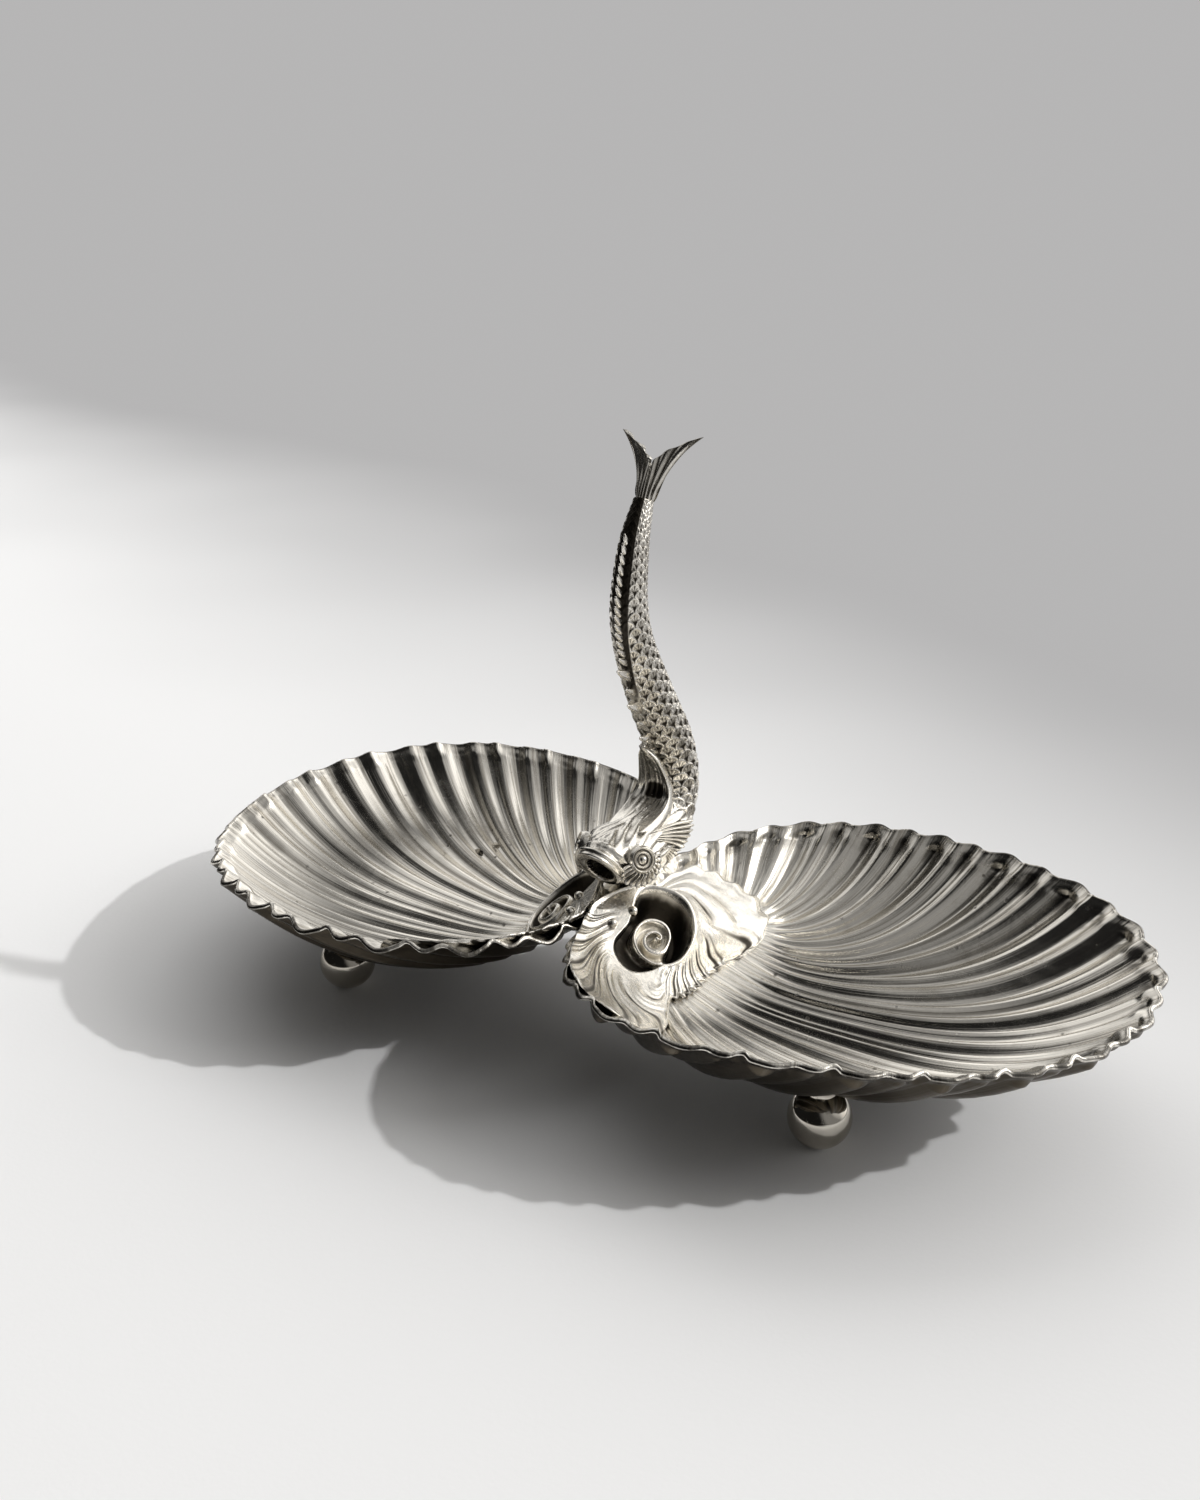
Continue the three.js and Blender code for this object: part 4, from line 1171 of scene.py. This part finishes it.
def fish_tail(fish):
    """The fan of the tail: fluted rays that curl out to two tips."""
    shape = bmesh.new()
    foot = fish.middle(0) - Vector((0, 0.0006, 0.0018))
    long, span = fish.size.tail_length, fish.size.tail_half_span

    def place(across, along):
        side = across * 2 - 1
        out = abs(side)
        end = Vector((span * out ** 2.1, long * (0.5 + 0.49 * out ** 0.9)))
        bend = Vector((0.0036 * out, long * mix(0.3, 0.6, out)))
        start = Vector((0.0025 * out, 0.0))
        flat = start * (1 - along) ** 2 + bend * (2 * along * (1 - along)) + end * along ** 2
        rays = math.cos(out * math.pi * TAIL_RAYS)
        room = climb(0.0, 0.25, along)
        notch = 0.02 * long * (0.5 - 0.5 * rays) * climb(0.75, 1.0, along) * (1 - climb(0.85, 1, out))
        proud = TAIL_RAY * rays * room * (1 - 0.6 * along)
        proud += TAIL_SWELL * (1 - out * out) * (1 - along)
        back = 0.30 * flat.y + 0.0042 * out ** 1.5 * along
        spot = foot + Vector((flat.x * (1 if side > 0 else -1), back - proud, flat.y - notch))
        return spot, (0.38 - 0.42 * rays) * room

    add_grid(shape, *TAIL_GRID, place)
    thicken(shape, TAIL_THICK)
    return shape


# Shader nodes

class Wire:
    """A socket of a node tree, on which arithmetic adds the Math nodes."""

    def __init__(self, finish, socket):
        self.finish = finish
        self.socket = socket

    def maths(self, operation, *values):
        return self.finish.node("ShaderNodeMath", {"operation": operation}, dict(enumerate(values)))

    def maker(operation, swapped=False):
        """The method of an operator, which adds a Math node."""
        def method(self, other):
            return self.maths(operation, other, self) if swapped else self.maths(operation, self, other)
        return method

    __add__, __radd__ = maker("ADD"), maker("ADD", True)
    __sub__, __rsub__ = maker("SUBTRACT"), maker("SUBTRACT", True)
    __mul__, __rmul__ = maker("MULTIPLY"), maker("MULTIPLY", True)
    most, least = maker("MAXIMUM"), maker("MINIMUM")
    del maker

    def between(self, low, high):
        """0 up to low and 1 from high on."""
        values = {"Value": self, "From Min": low, "From Max": high}
        return self.finish.node("ShaderNodeMapRange", {"interpolation_type": "SMOOTHSTEP"}, values)


class Finish:
    """A node tree for a material or a world, built up by expressions."""

    def __init__(self, owner):
        owner.use_nodes = True
        self.owner = owner
        self.tree = owner.node_tree
        self.tree.nodes.clear()

    def node(self, kind, settings=None, inputs=None, out=0):
        """Adds a node of that type with its settings first, then its sockets' values or links."""
        made = self.tree.nodes.new(kind)
        for key, value in (settings or {}).items():
            setattr(made, key, value)
        for key, value in (inputs or {}).items():
            self.feed(made.inputs[key], value)
        return Wire(self, made.outputs[out]) if len(made.outputs) else made

    def feed(self, socket, value):
        if isinstance(value, Wire):
            self.tree.links.new(value.socket, socket)
        else:
            socket.default_value = value

    def blend(self, share, start, end):
        """A colour between two others."""
        as_colour = [value if isinstance(value, Wire) else (*value, 1.0) for value in (start, end)]
        settings = {"data_type": "RGBA"}
        return self.node("ShaderNodeMix", settings, {0: share, 6: as_colour[0], 7: as_colour[1]}, out=2)

    def place(self):
        return self.node("ShaderNodeTexCoord", out=3)

    def axes(self, place):
        """A place's three parts: right, back and up."""
        split = self.node("ShaderNodeSeparateXYZ", {}, {"Vector": place}).socket.node
        return [Wire(self, socket) for socket in split.outputs]

    def stretched(self, place, scale, turn=(0, 0, 0)):
        return self.node("ShaderNodeMapping", {}, {"Vector": place, "Scale": scale, "Rotation": turn})

    def cloud(self, place, scale, detail=3.0, rough=0.5, warp=0.0):
        values = {"Vector": place, "Scale": scale, "Detail": detail, "Roughness": rough, "Distortion": warp}
        return self.node("ShaderNodeTexNoise", {}, values)

    def specks(self, place, scale):
        return self.node("ShaderNodeTexVoronoi", {"feature": "F1"}, {"Vector": place, "Scale": scale})

    def grid(self):
        return self.node("ShaderNodeAttribute", {"attribute_name": "grid"}, out=1)

    def attribute(self, name):
        return self.node("ShaderNodeAttribute", {"attribute_name": name}, out=2)

    def bump(self, height, distance, strength=1.0, normal=None):
        values = {"Height": height, "Distance": distance, "Strength": strength}
        if normal is not None:
            values["Normal"] = normal
        return self.node("ShaderNodeBump", {}, values)

    def metal(self, base, rough, normal):
        values = {"Base Color": base, "Metallic": 1.0, "Roughness": rough, "Normal": normal}
        shader = self.node("ShaderNodeBsdfPrincipled", {}, values)
        self.node("ShaderNodeOutputMaterial", {}, {"Surface": shader})
        return self.owner


def colours():
    return plain(bpy.context.scene.dish_finish)


def material(name):
    return Finish(bpy.data.materials.new(name))


def bowl_silver():
    """Polished silver with cloudy tarnish, fine scratches and small casting pits, darkened by painted shade
    at the flute ends, on the lip and on the underside.
    """
    tint, finish = colours(), material("bowl_silver")
    place = finish.place()
    hollow = finish.attribute("hollow")
    cloud = finish.cloud(place, 42.0, 4.0, 0.6, 0.4)
    smear = finish.cloud(finish.stretched(place, (0.35, 1.2, 1.0), (0, 0, 0.4)), 130.0, 5.0, 0.65)
    grain = finish.cloud(place, 900.0, 2.0)
    scratch_a = finish.cloud(finish.stretched(place, (1.0, 0.035, 0.2), (0, 0, 0.7)), 900.0, 1.0)
    scratch_b = finish.cloud(finish.stretched(place, (0.03, 1.0, 0.2), (0, 0, 0.25)), 1100.0, 1.0)
    scratches = scratch_a.between(0.66, 0.72).most(scratch_b.between(0.67, 0.73))
    pit_place = finish.specks(place, 210.0)
    pits = (1.0 - pit_place.between(0.05, 0.16)) * cloud.between(0.5, 0.62)
    reed = finish.cloud(finish.stretched(finish.grid(), (44.0, 44.0, 1.6)), 1.0, 3.0, 0.65)
    # Painted shade: the flute ends and the lip (hollow about 1.2 to 1.3), and the underside (hollow 2 or
    # so), which also goes into the tarnish mix
    pocket_shade = hollow.between(0.95, 1.25) * (1.0 - hollow.between(1.4, 1.8))
    under_shade = hollow.between(1.5, 1.9)
    tarnish = (cloud * 0.6 + smear * 0.4).between(0.5, 0.72) * 0.35 + hollow.least(1.0) * smear * 0.25
    tarnish = (tarnish + reed.between(0.51, 0.62) * 0.4 + under_shade).least(0.97)
    base = finish.blend(tarnish, tint.silver, tint.tarnish)
    # Darkened towards the grime colour: casting pits, and the painted shade of the flute ends and the
    # underside
    soot = (pits * 0.75).most(pocket_shade * smear.between(0.3, 0.55) * 0.85).most(under_shade * (0.62 + smear * 0.3))
    base = finish.blend(soot.least(0.9), base, tint.grime)
    rough = 0.15 + smear.between(0.42, 0.75) * 0.12 + scratches * 0.04 + tarnish * 0.14 + pits * 0.3
    waves = finish.bump(cloud * 0.6 + reed * 0.9, 0.0005, 0.42)
    fine = finish.bump(grain * 0.3 - scratches * 0.12 - pits * 1.5, 0.00006, 0.5, waves)
    return finish.metal(base, rough, fine)


def worn_casting():
    """Cast silver, worn bright on its high places and dark in its creases and where painted shade is carried
    in its hollow.
    """
    tint, finish = colours(), material("worn_casting")
    place = finish.place()
    hollow = finish.attribute("hollow")
    cloud = finish.cloud(place, 160.0, 4.0, 0.6, 0.3)
    grain = finish.cloud(place, 1300.0, 3.0, 0.6)
    # The hollow darkens the casting: its creases, and the painted shade of the left volute's pit and the
    # fish's front band
    dark = (hollow + (cloud - 0.5) * 0.7).between(0.3, 0.95)
    deep = (hollow + (cloud - 0.5) * 0.4).between(0.62, 0.98)
    fleck = finish.cloud(place, 620.0, 4.0, 0.7)
    worn = (cloud.between(0.45, 0.75) * 0.22 + fleck.between(0.55, 0.72) * 0.3).least(1.0)
    base = finish.blend(worn, tint.silver, tint.tarnish)
    base = finish.blend(dark * 0.6, base, tint.tarnish)
    base = finish.blend(deep * 0.96, base, tint.grime)
    rough = 0.21 + dark * 0.2 + fleck.between(0.5, 0.75) * 0.14
    stipple = finish.bump(grain * 0.4 + fleck + cloud * 0.5, 0.00014, 0.6)
    return finish.metal(base, rough, stipple)


def ball_silver():
    """Mirror-bright silver of the feet with a few hairline scratches, darkened by painted shade."""
    tint, finish = colours(), material("ball_silver")
    place = finish.place()
    cloud = finish.cloud(place, 90.0, 3.0)
    hair = finish.cloud(finish.stretched(place, (1.0, 0.05, 0.4), (0.3, 0.5, 0.9)), 1500.0, 1.0)
    hair = hair.between(0.66, 0.72)
    # Painted shade: the base is pulled 45 to 75 percent of the way towards the tarnish colour, so that the
    # balls mirror their surroundings darker
    base = finish.blend(0.45 + cloud.between(0.4, 0.75) * 0.3, tint.silver, tint.tarnish)
    rough = 0.06 + cloud.between(0.45, 0.75) * 0.08 + hair * 0.12
    normal = finish.bump(cloud * 0.4 - hair * 0.2, 0.0002, 0.25)
    return finish.metal(base, rough, normal)


def fixing_steel():
    """Brushed steel of the stud, washer and nut."""
    tint, finish = colours(), material("fixing_steel")
    place = finish.place()
    brush = finish.cloud(finish.stretched(place, (1.0, 1.0, 0.06)), 1600.0, 2.0)
    stain = finish.cloud(place, 240.0, 3.0)
    base = finish.blend(stain.between(0.45, 0.75) * 0.5, tint.steel, tint.tarnish)
    rough = 0.3 + brush * 0.18
    return finish.metal(base, rough, finish.bump(brush, 0.00005, 0.4))


# Operators

def built(operator):
    operator.report({"INFO"}, operator.bl_label)
    return {"FINISHED"}


def dish_materials():
    """The dish's four metals, made once."""
    makers = (bowl_silver, worn_casting, ball_silver, fixing_steel)
    return {make.__name__: bpy.data.materials.get(make.__name__) or make() for make in makers}


class DISH_OT_bowls(bpy.types.Operator):
    """Builds the two fluted bowls"""
    bl_idname = "dish.bowls"
    bl_label = "Fluted bowls"

    def execute(self, context):
        sizes = context.scene.dish_bowl
        centre = Vector(context.scene.dish_volute.boss[:2])
        silver = dish_materials()["bowl_silver"]
        right = Flutes(Bowl(sizes, sizes.bend_right), centre, sizes.soot_right).shape()
        left = mirrored(Flutes(Bowl(sizes, sizes.bend_left), centre, sizes.soot_left).shape())
        deliver(right, "right_fluted_bowl", silver, "bright_silver", "right_shell")
        deliver(left, "left_fluted_bowl", silver, "bright_silver", "left_shell")
        return built(self)


class DISH_OT_volutes(bpy.types.Operator):
    """Builds the cast volutes in the bowls"""
    bl_idname = "dish.volutes"
    bl_label = "Volutes"
    # Painted shade: the left volute's hollow is darkened further, as its pit lies in shade
    LEFT_DARKER = 1.6

    def execute(self, context):
        bowl = Bowl(context.scene.dish_bowl, 0.0)
        shape = Volute(bowl, context.scene.dish_volute).shape()
        silver = dish_materials()["worn_casting"]
        left = mirrored(shape)
        # Painted shade: the left copy's hollows are darkened by LEFT_DARKER
        hollow = left.verts.layers.float["hollow"]
        for vert in left.verts:
            vert[hollow] *= self.LEFT_DARKER
        deliver(shape, "right_cast_volute", silver, "cast_silver", "right_volute")
        deliver(left, "left_cast_volute", silver, "cast_silver", "left_volute")
        return built(self)


class DISH_OT_feet(bpy.types.Operator):
    """Builds the ball feet and their collars"""
    bl_idname = "dish.feet"
    bl_label = "Ball feet"
    COLLAR_STEPS = 10
    COLLAR_WAIST = 0.0006
    INTO_BALL, INTO_BOWL = 0.0008, 0.0005
    LOWER_FLARE = 0.35

    def execute(self, context):
        size = plain(context.scene.dish_foot)
        silver = dish_materials()["ball_silver"]
        context.view_layer.update()
        for hand in ("right", "left"):
            for row in ("front", "back"):
                self.ball(size, silver, f"{hand}_{row}")
                self.collar(size, silver, f"{hand}_{row}")
        return built(self)

    def node_box(self, node):
        """The lowest corner, highest corner and middle of a CAD node."""
        low, high = (Vector(point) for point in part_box(node))
        return low, high, (low + high) / 2

    def ball(self, size, silver, corner):
        _, _, middle = self.node_box(f"{corner}_ball")
        centre_z = math.sqrt(size.ball_radius ** 2 - size.flat_radius ** 2)
        shape = bmesh.new()
        bmesh.ops.create_uvsphere(shape, u_segments=72, v_segments=48, radius=size.ball_radius)
        bmesh.ops.translate(shape, vec=(middle.x, middle.y, centre_z), verts=shape.verts)
        for vert in shape.verts:
            vert.co.z = max(vert.co.z, 0.0)
        bmesh.ops.recalc_face_normals(shape, faces=shape.faces)
        deliver(shape, f"{corner}_ball_foot", silver, "bright_silver", f"{corner}_ball")

    def collar(self, size, silver, corner):
        low, high, middle = self.node_box(f"{corner}_collar")
        bowl = bpy.data.objects[f"{corner.split('_')[0]}_fluted_bowl"]
        shape = bmesh.new()
        profile = []
        for step in range(self.COLLAR_STEPS + 1):
            share = step / self.COLLAR_STEPS
            flare = size.collar_flare * (2 * share - 1) ** 2 * (self.LOWER_FLARE if share < 0.5 else 1.0)
            radius = size.collar_radius - self.COLLAR_WAIST + flare
            profile.append((middle.x + radius, middle.y, mix(low.z - self.INTO_BALL, high.z, share)))
        ends = [(middle.x, middle.y, profile[0][2]), (middle.x, middle.y, profile[-1][2])]
        line = [shape.verts.new(point) for point in (ends[0], *profile, ends[1])]
        edges = [shape.edges.new(pair) for pair in zip(line, line[1:])]
        bmesh.ops.spin(
            shape, geom=line + edges, cent=middle, axis=(0, 0, 1), angle=FULL_TURN, steps=48,
            use_merge=True)
        bmesh.ops.remove_doubles(shape, verts=shape.verts, dist=MERGE)
        for vert in shape.verts:
            found, spot, _, _ = bowl.ray_cast((vert.co.x, vert.co.y, 0), (0, 0, 1))
            if found:
                vert.co.z = min(vert.co.z, spot.z + self.INTO_BOWL)
        bmesh.ops.recalc_face_normals(shape, faces=shape.faces)
        deliver(shape, f"{corner}_foot_collar", silver, "bright_silver", f"{corner}_collar")


class DISH_OT_fish(bpy.types.Operator):
    """Builds the fish handle"""
    bl_idname = "dish.fish"
    bl_label = "Fish handle"

    def execute(self, context):
        fish = Fish(context.scene.dish_fish)
        silver = dish_materials()["worn_casting"]
        deliver(fish.body(), "fish_scaled_body", silver, "cast_silver", "fish_body")
        deliver(fish_tail(fish), "fish_tail_fin", silver, "cast_silver", "fish_tail")
        deliver(fish_crest(fish), "fish_brow_crest", silver, "cast_silver", "fish_crest")
        deliver(fish_back_leaves(fish), "fish_back_leaves", silver, "cast_silver", "fish_dorsal_comb")
        gill = fish_gill(fish)
        eye, frill = fish_eye(fish)
        for shape, name, *nodes in (
            (gill, "fish_gill_leaf", "fish_gill"), (eye, "fish_eye"), (frill, "fish_eye_frill"),
        ):
            left = mirrored(shape)
            deliver(shape, f"right_{name}", silver, "cast_silver", *[f"right_{node}" for node in nodes])
            deliver(left, f"left_{name}", silver, "cast_silver", *[f"left_{node}" for node in nodes])
        return built(self)


class DISH_OT_fixing(bpy.types.Operator):
    """Gives the seat, bridge, stud, washer and nut their metals"""
    bl_idname = "dish.fixing"
    bl_label = "Handle fixing"

    def execute(self, context):
        metals = dish_materials()
        looks = {
            "fish_seat": "worn_casting", "bridge_block": "worn_casting",
            "handle_stud": "fixing_steel", "stud_washer": "fixing_steel", "stud_nut": "fixing_steel",
        }
        for node, look in looks.items():
            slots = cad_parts[node].data.materials
            slots.clear()
            slots.append(metals[look])
        return built(self)


class DISH_OT_stage(bpy.types.Operator):
    """Sets the pale paper floor, the light and the camera"""
    bl_idname = "dish.stage"
    bl_label = "Stage"
    FLOOR_RADIUS = 9.0
    SUN_STRENGTH, SUN_WIDTH = 1.6, 1.4
    FILL_STRENGTH, FILL_SIZE = 40.0, 3.0
    FILL_PLACE = (-1.4, 1.8, 1.9)
    CAMERA_PLACE = (0.20865, -0.34374, 0.22817)
    CAMERA_DOWN, CAMERA_TURN = 20.454, 32.257
    FILM_HEIGHT, FOCAL_LENGTH = 36.0, 38.4
    NEAR_END, FAR_END = 0.01, 30.0

    def execute(self, context):
        self.floor()
        self.world(context.scene)
        self.lamps(context.scene)
        self.camera(context.scene)
        context.scene.view_settings.view_transform = "Standard"
        return built(self)

    def floor(self):
        shape = bmesh.new()
        bmesh.ops.create_circle(shape, cap_ends=True, segments=96, radius=self.FLOOR_RADIUS)
        mesh = bpy.data.meshes.new("paper_floor")
        shape.to_mesh(mesh)
        shape.free()
        mesh.materials.append(self.paper())
        floor = bpy.data.objects.new("paper_floor", mesh)
        bpy.context.scene.collection.objects.link(floor)

    def paper(self):
        """Pale paper that greys far behind the dish as a painted grey glow of shade, on a dark table,
        painted shade for the dark room round the paper, that only the metal mirrors.

        The table starts some 0.2 m from the middle towards the camera and towards the front left.
        """
        tint, finish = colours(), material("paper")
        place = finish.place()
        grain = finish.cloud(place, 700.0, 3.0)
        drift = finish.cloud(place, 2.2, 2.0)
        away = finish.node("ShaderNodeVectorMath", {"operation": "LENGTH"}, {0: place}, out=1)
        right, back, _ = finish.axes(place)
        # Painted shade: far off, and more to the right and back, the paper becomes a grey glow
        far = (away * 0.35 + right * 0.9 + back * 1.6 + (drift - 0.5) * 0.4).between(0.0, 0.8)
        # Painted shade: beyond the frame towards the camera and the front left, the paper becomes a dark
        # table that the camera doesn't see
        beyond = (right * 0.534 - back * 0.845).between(0.2, 0.27) * (1.0 - right.between(0.12, 0.4))
        beyond = beyond.most((0.0 - right * 0.62 - back * 0.784).between(0.185, 0.26))
        values = {"Color": (*tint.paper, 1.0), "Normal": finish.bump(grain, 0.0001, 0.3)}
        near_paper = finish.node("ShaderNodeBsdfDiffuse", {}, values)
        # The grey glow of the paper's painted far shade
        painted_far_shade = finish.node("ShaderNodeEmission", {}, {"Color": (*tint.far_paper, 1.0), "Strength": 1.0})
        eye = finish.node("ShaderNodeLightPath", out=0)
        mirror = Wire(finish, eye.socket.node.outputs["Is Glossy Ray"])
        table = finish.node("ShaderNodeBsdfDiffuse", {}, {"Color": (*tint.grime, 1.0)})
        sheet = finish.node("ShaderNodeMixShader", {}, {0: beyond * (1.0 - eye), 1: near_paper, 2: table})
        shader = finish.node("ShaderNodeMixShader", {}, {0: far * eye.most(mirror), 1: sheet, 2: painted_far_shade})
        finish.node("ShaderNodeOutputMaterial", {}, {"Surface": shader})
        return finish.owner

    def world(self, scene):
        """The room that the metal mirrors: a backdrop, a side wall, a window and dark between them."""
        tint = colours()
        scene.world = bpy.data.worlds.new("studio")
        finish = Finish(scene.world)
        place = finish.node("ShaderNodeTexCoord", out=0)
        right, back, up = finish.axes(place)
        sunward = right * SUN_WAY[0] + back * SUN_WAY[1] + up * SUN_WAY[2]
        lean = right * 0.85 + back * 0.25 + up * 0.46
        backdrop = back.between(0.5, 0.8) * (1.0 - up.between(0.4, 0.62)) * 0.7
        side_wall = (0.0 - right).between(0.22, 0.58) * up.between(0.3, 0.5)
        side_wall = side_wall * (1.0 - up.between(0.82, 0.94))
        side_wall = side_wall * back.between(-0.45, 0.05) * (0.6 + back.between(0.25, 0.55) * 0.32)
        sky = back.between(-0.1, 0.4) * up.between(0.2, 0.5) * 0.13
        ceiling = up.between(0.88, 0.99) * (1.0 - right.between(0.05, 0.3)) * 0.3
        room = lean.between(0.26, 0.62) * (0.26 + back.between(0.1, 0.6) * 0.77) + sky + ceiling
        window = sunward.between(0.78, 0.92) * 0.3 + sunward.between(0.96, 0.985) * 3.0
        glow = backdrop + side_wall + room + window + 0.012
        warm_white = (1.0, 0.985, 0.965, 1.0)
        dome = finish.node("ShaderNodeBackground", {}, {"Color": warm_white, "Strength": glow})
        seen = finish.node("ShaderNodeBackground", {}, {"Color": (*tint.far_paper, 1.0), "Strength": 1.0})
        eye = finish.node("ShaderNodeLightPath", out=0)
        whole = finish.node("ShaderNodeMixShader", {}, {0: eye, 1: dome, 2: seen})
        finish.node("ShaderNodeOutputWorld", {}, {"Surface": whole})

    def lamps(self, scene):
        sun = bpy.data.lights.new("sun", "SUN")
        sun.energy = self.SUN_STRENGTH
        sun.angle = math.radians(self.SUN_WIDTH)
        self.hang(scene, sun, Vector(SUN_WAY))
        fill = bpy.data.lights.new("fill", "AREA")
        fill.energy = self.FILL_STRENGTH
        fill.size = self.FILL_SIZE
        self.hang(scene, fill, Vector(self.FILL_PLACE))

    def hang(self, scene, light, place):
        """Hangs a lamp that shines on the dish's middle; the metal mirrors the world's window instead."""
        lamp = bpy.data.objects.new(light.name, light)
        lamp.location = place
        lamp.rotation_euler = place.to_track_quat("Z", "Y").to_euler()
        lamp.visible_glossy = False
        scene.collection.objects.link(lamp)

    def camera(self, scene):
        lens = bpy.data.cameras.new("camera")
        lens.sensor_fit = "VERTICAL"
        lens.sensor_height = self.FILM_HEIGHT
        lens.lens = self.FOCAL_LENGTH
        lens.clip_start = self.NEAR_END
        lens.clip_end = self.FAR_END
        camera = bpy.data.objects.new("camera", lens)
        camera.location = self.CAMERA_PLACE
        tilt, turn = math.radians(90 - self.CAMERA_DOWN), math.radians(self.CAMERA_TURN)
        camera.rotation_euler = Euler((tilt, 0, turn))
        scene.collection.objects.link(camera)
        scene.camera = camera


class DISH_PT_panel(bpy.types.Panel):
    """Lists the builders of the dish"""
    bl_label = "Double shell dish"
    bl_idname = "DISH_PT_panel"
    bl_space_type = "VIEW_3D"
    bl_region_type = "UI"
    bl_category = "Dish"

    def draw(self, context):
        for operator in OPERATORS:
            self.layout.operator(operator.bl_idname)


GROUPS = {
    "dish_bowl": DishBowlSizes, "dish_volute": DishVoluteSizes, "dish_foot": DishFootSizes,
    "dish_fish": DishFishSizes, "dish_finish": DishFinish,
}
OPERATORS = (
    DISH_OT_bowls, DISH_OT_volutes, DISH_OT_feet, DISH_OT_fish, DISH_OT_fixing, DISH_OT_stage,
)


def register():
    for kind in (*GROUPS.values(), *OPERATORS, DISH_PT_panel):
        bpy.utils.register_class(kind)
    for name, group in GROUPS.items():
        setattr(bpy.types.Scene, name, bpy.props.PointerProperty(type=group))


def unregister():
    for name in GROUPS:
        delattr(bpy.types.Scene, name)
    for kind in (DISH_PT_panel, *reversed(OPERATORS), *reversed(GROUPS.values())):
        bpy.utils.unregister_class(kind)


def main():
    register()
    bpy.ops.dish.stage()
    bpy.ops.dish.bowls()
    bpy.ops.dish.volutes()
    bpy.ops.dish.feet()
    bpy.ops.dish.fish()
    bpy.ops.dish.fixing()


if __name__ == "__main__":
    main()
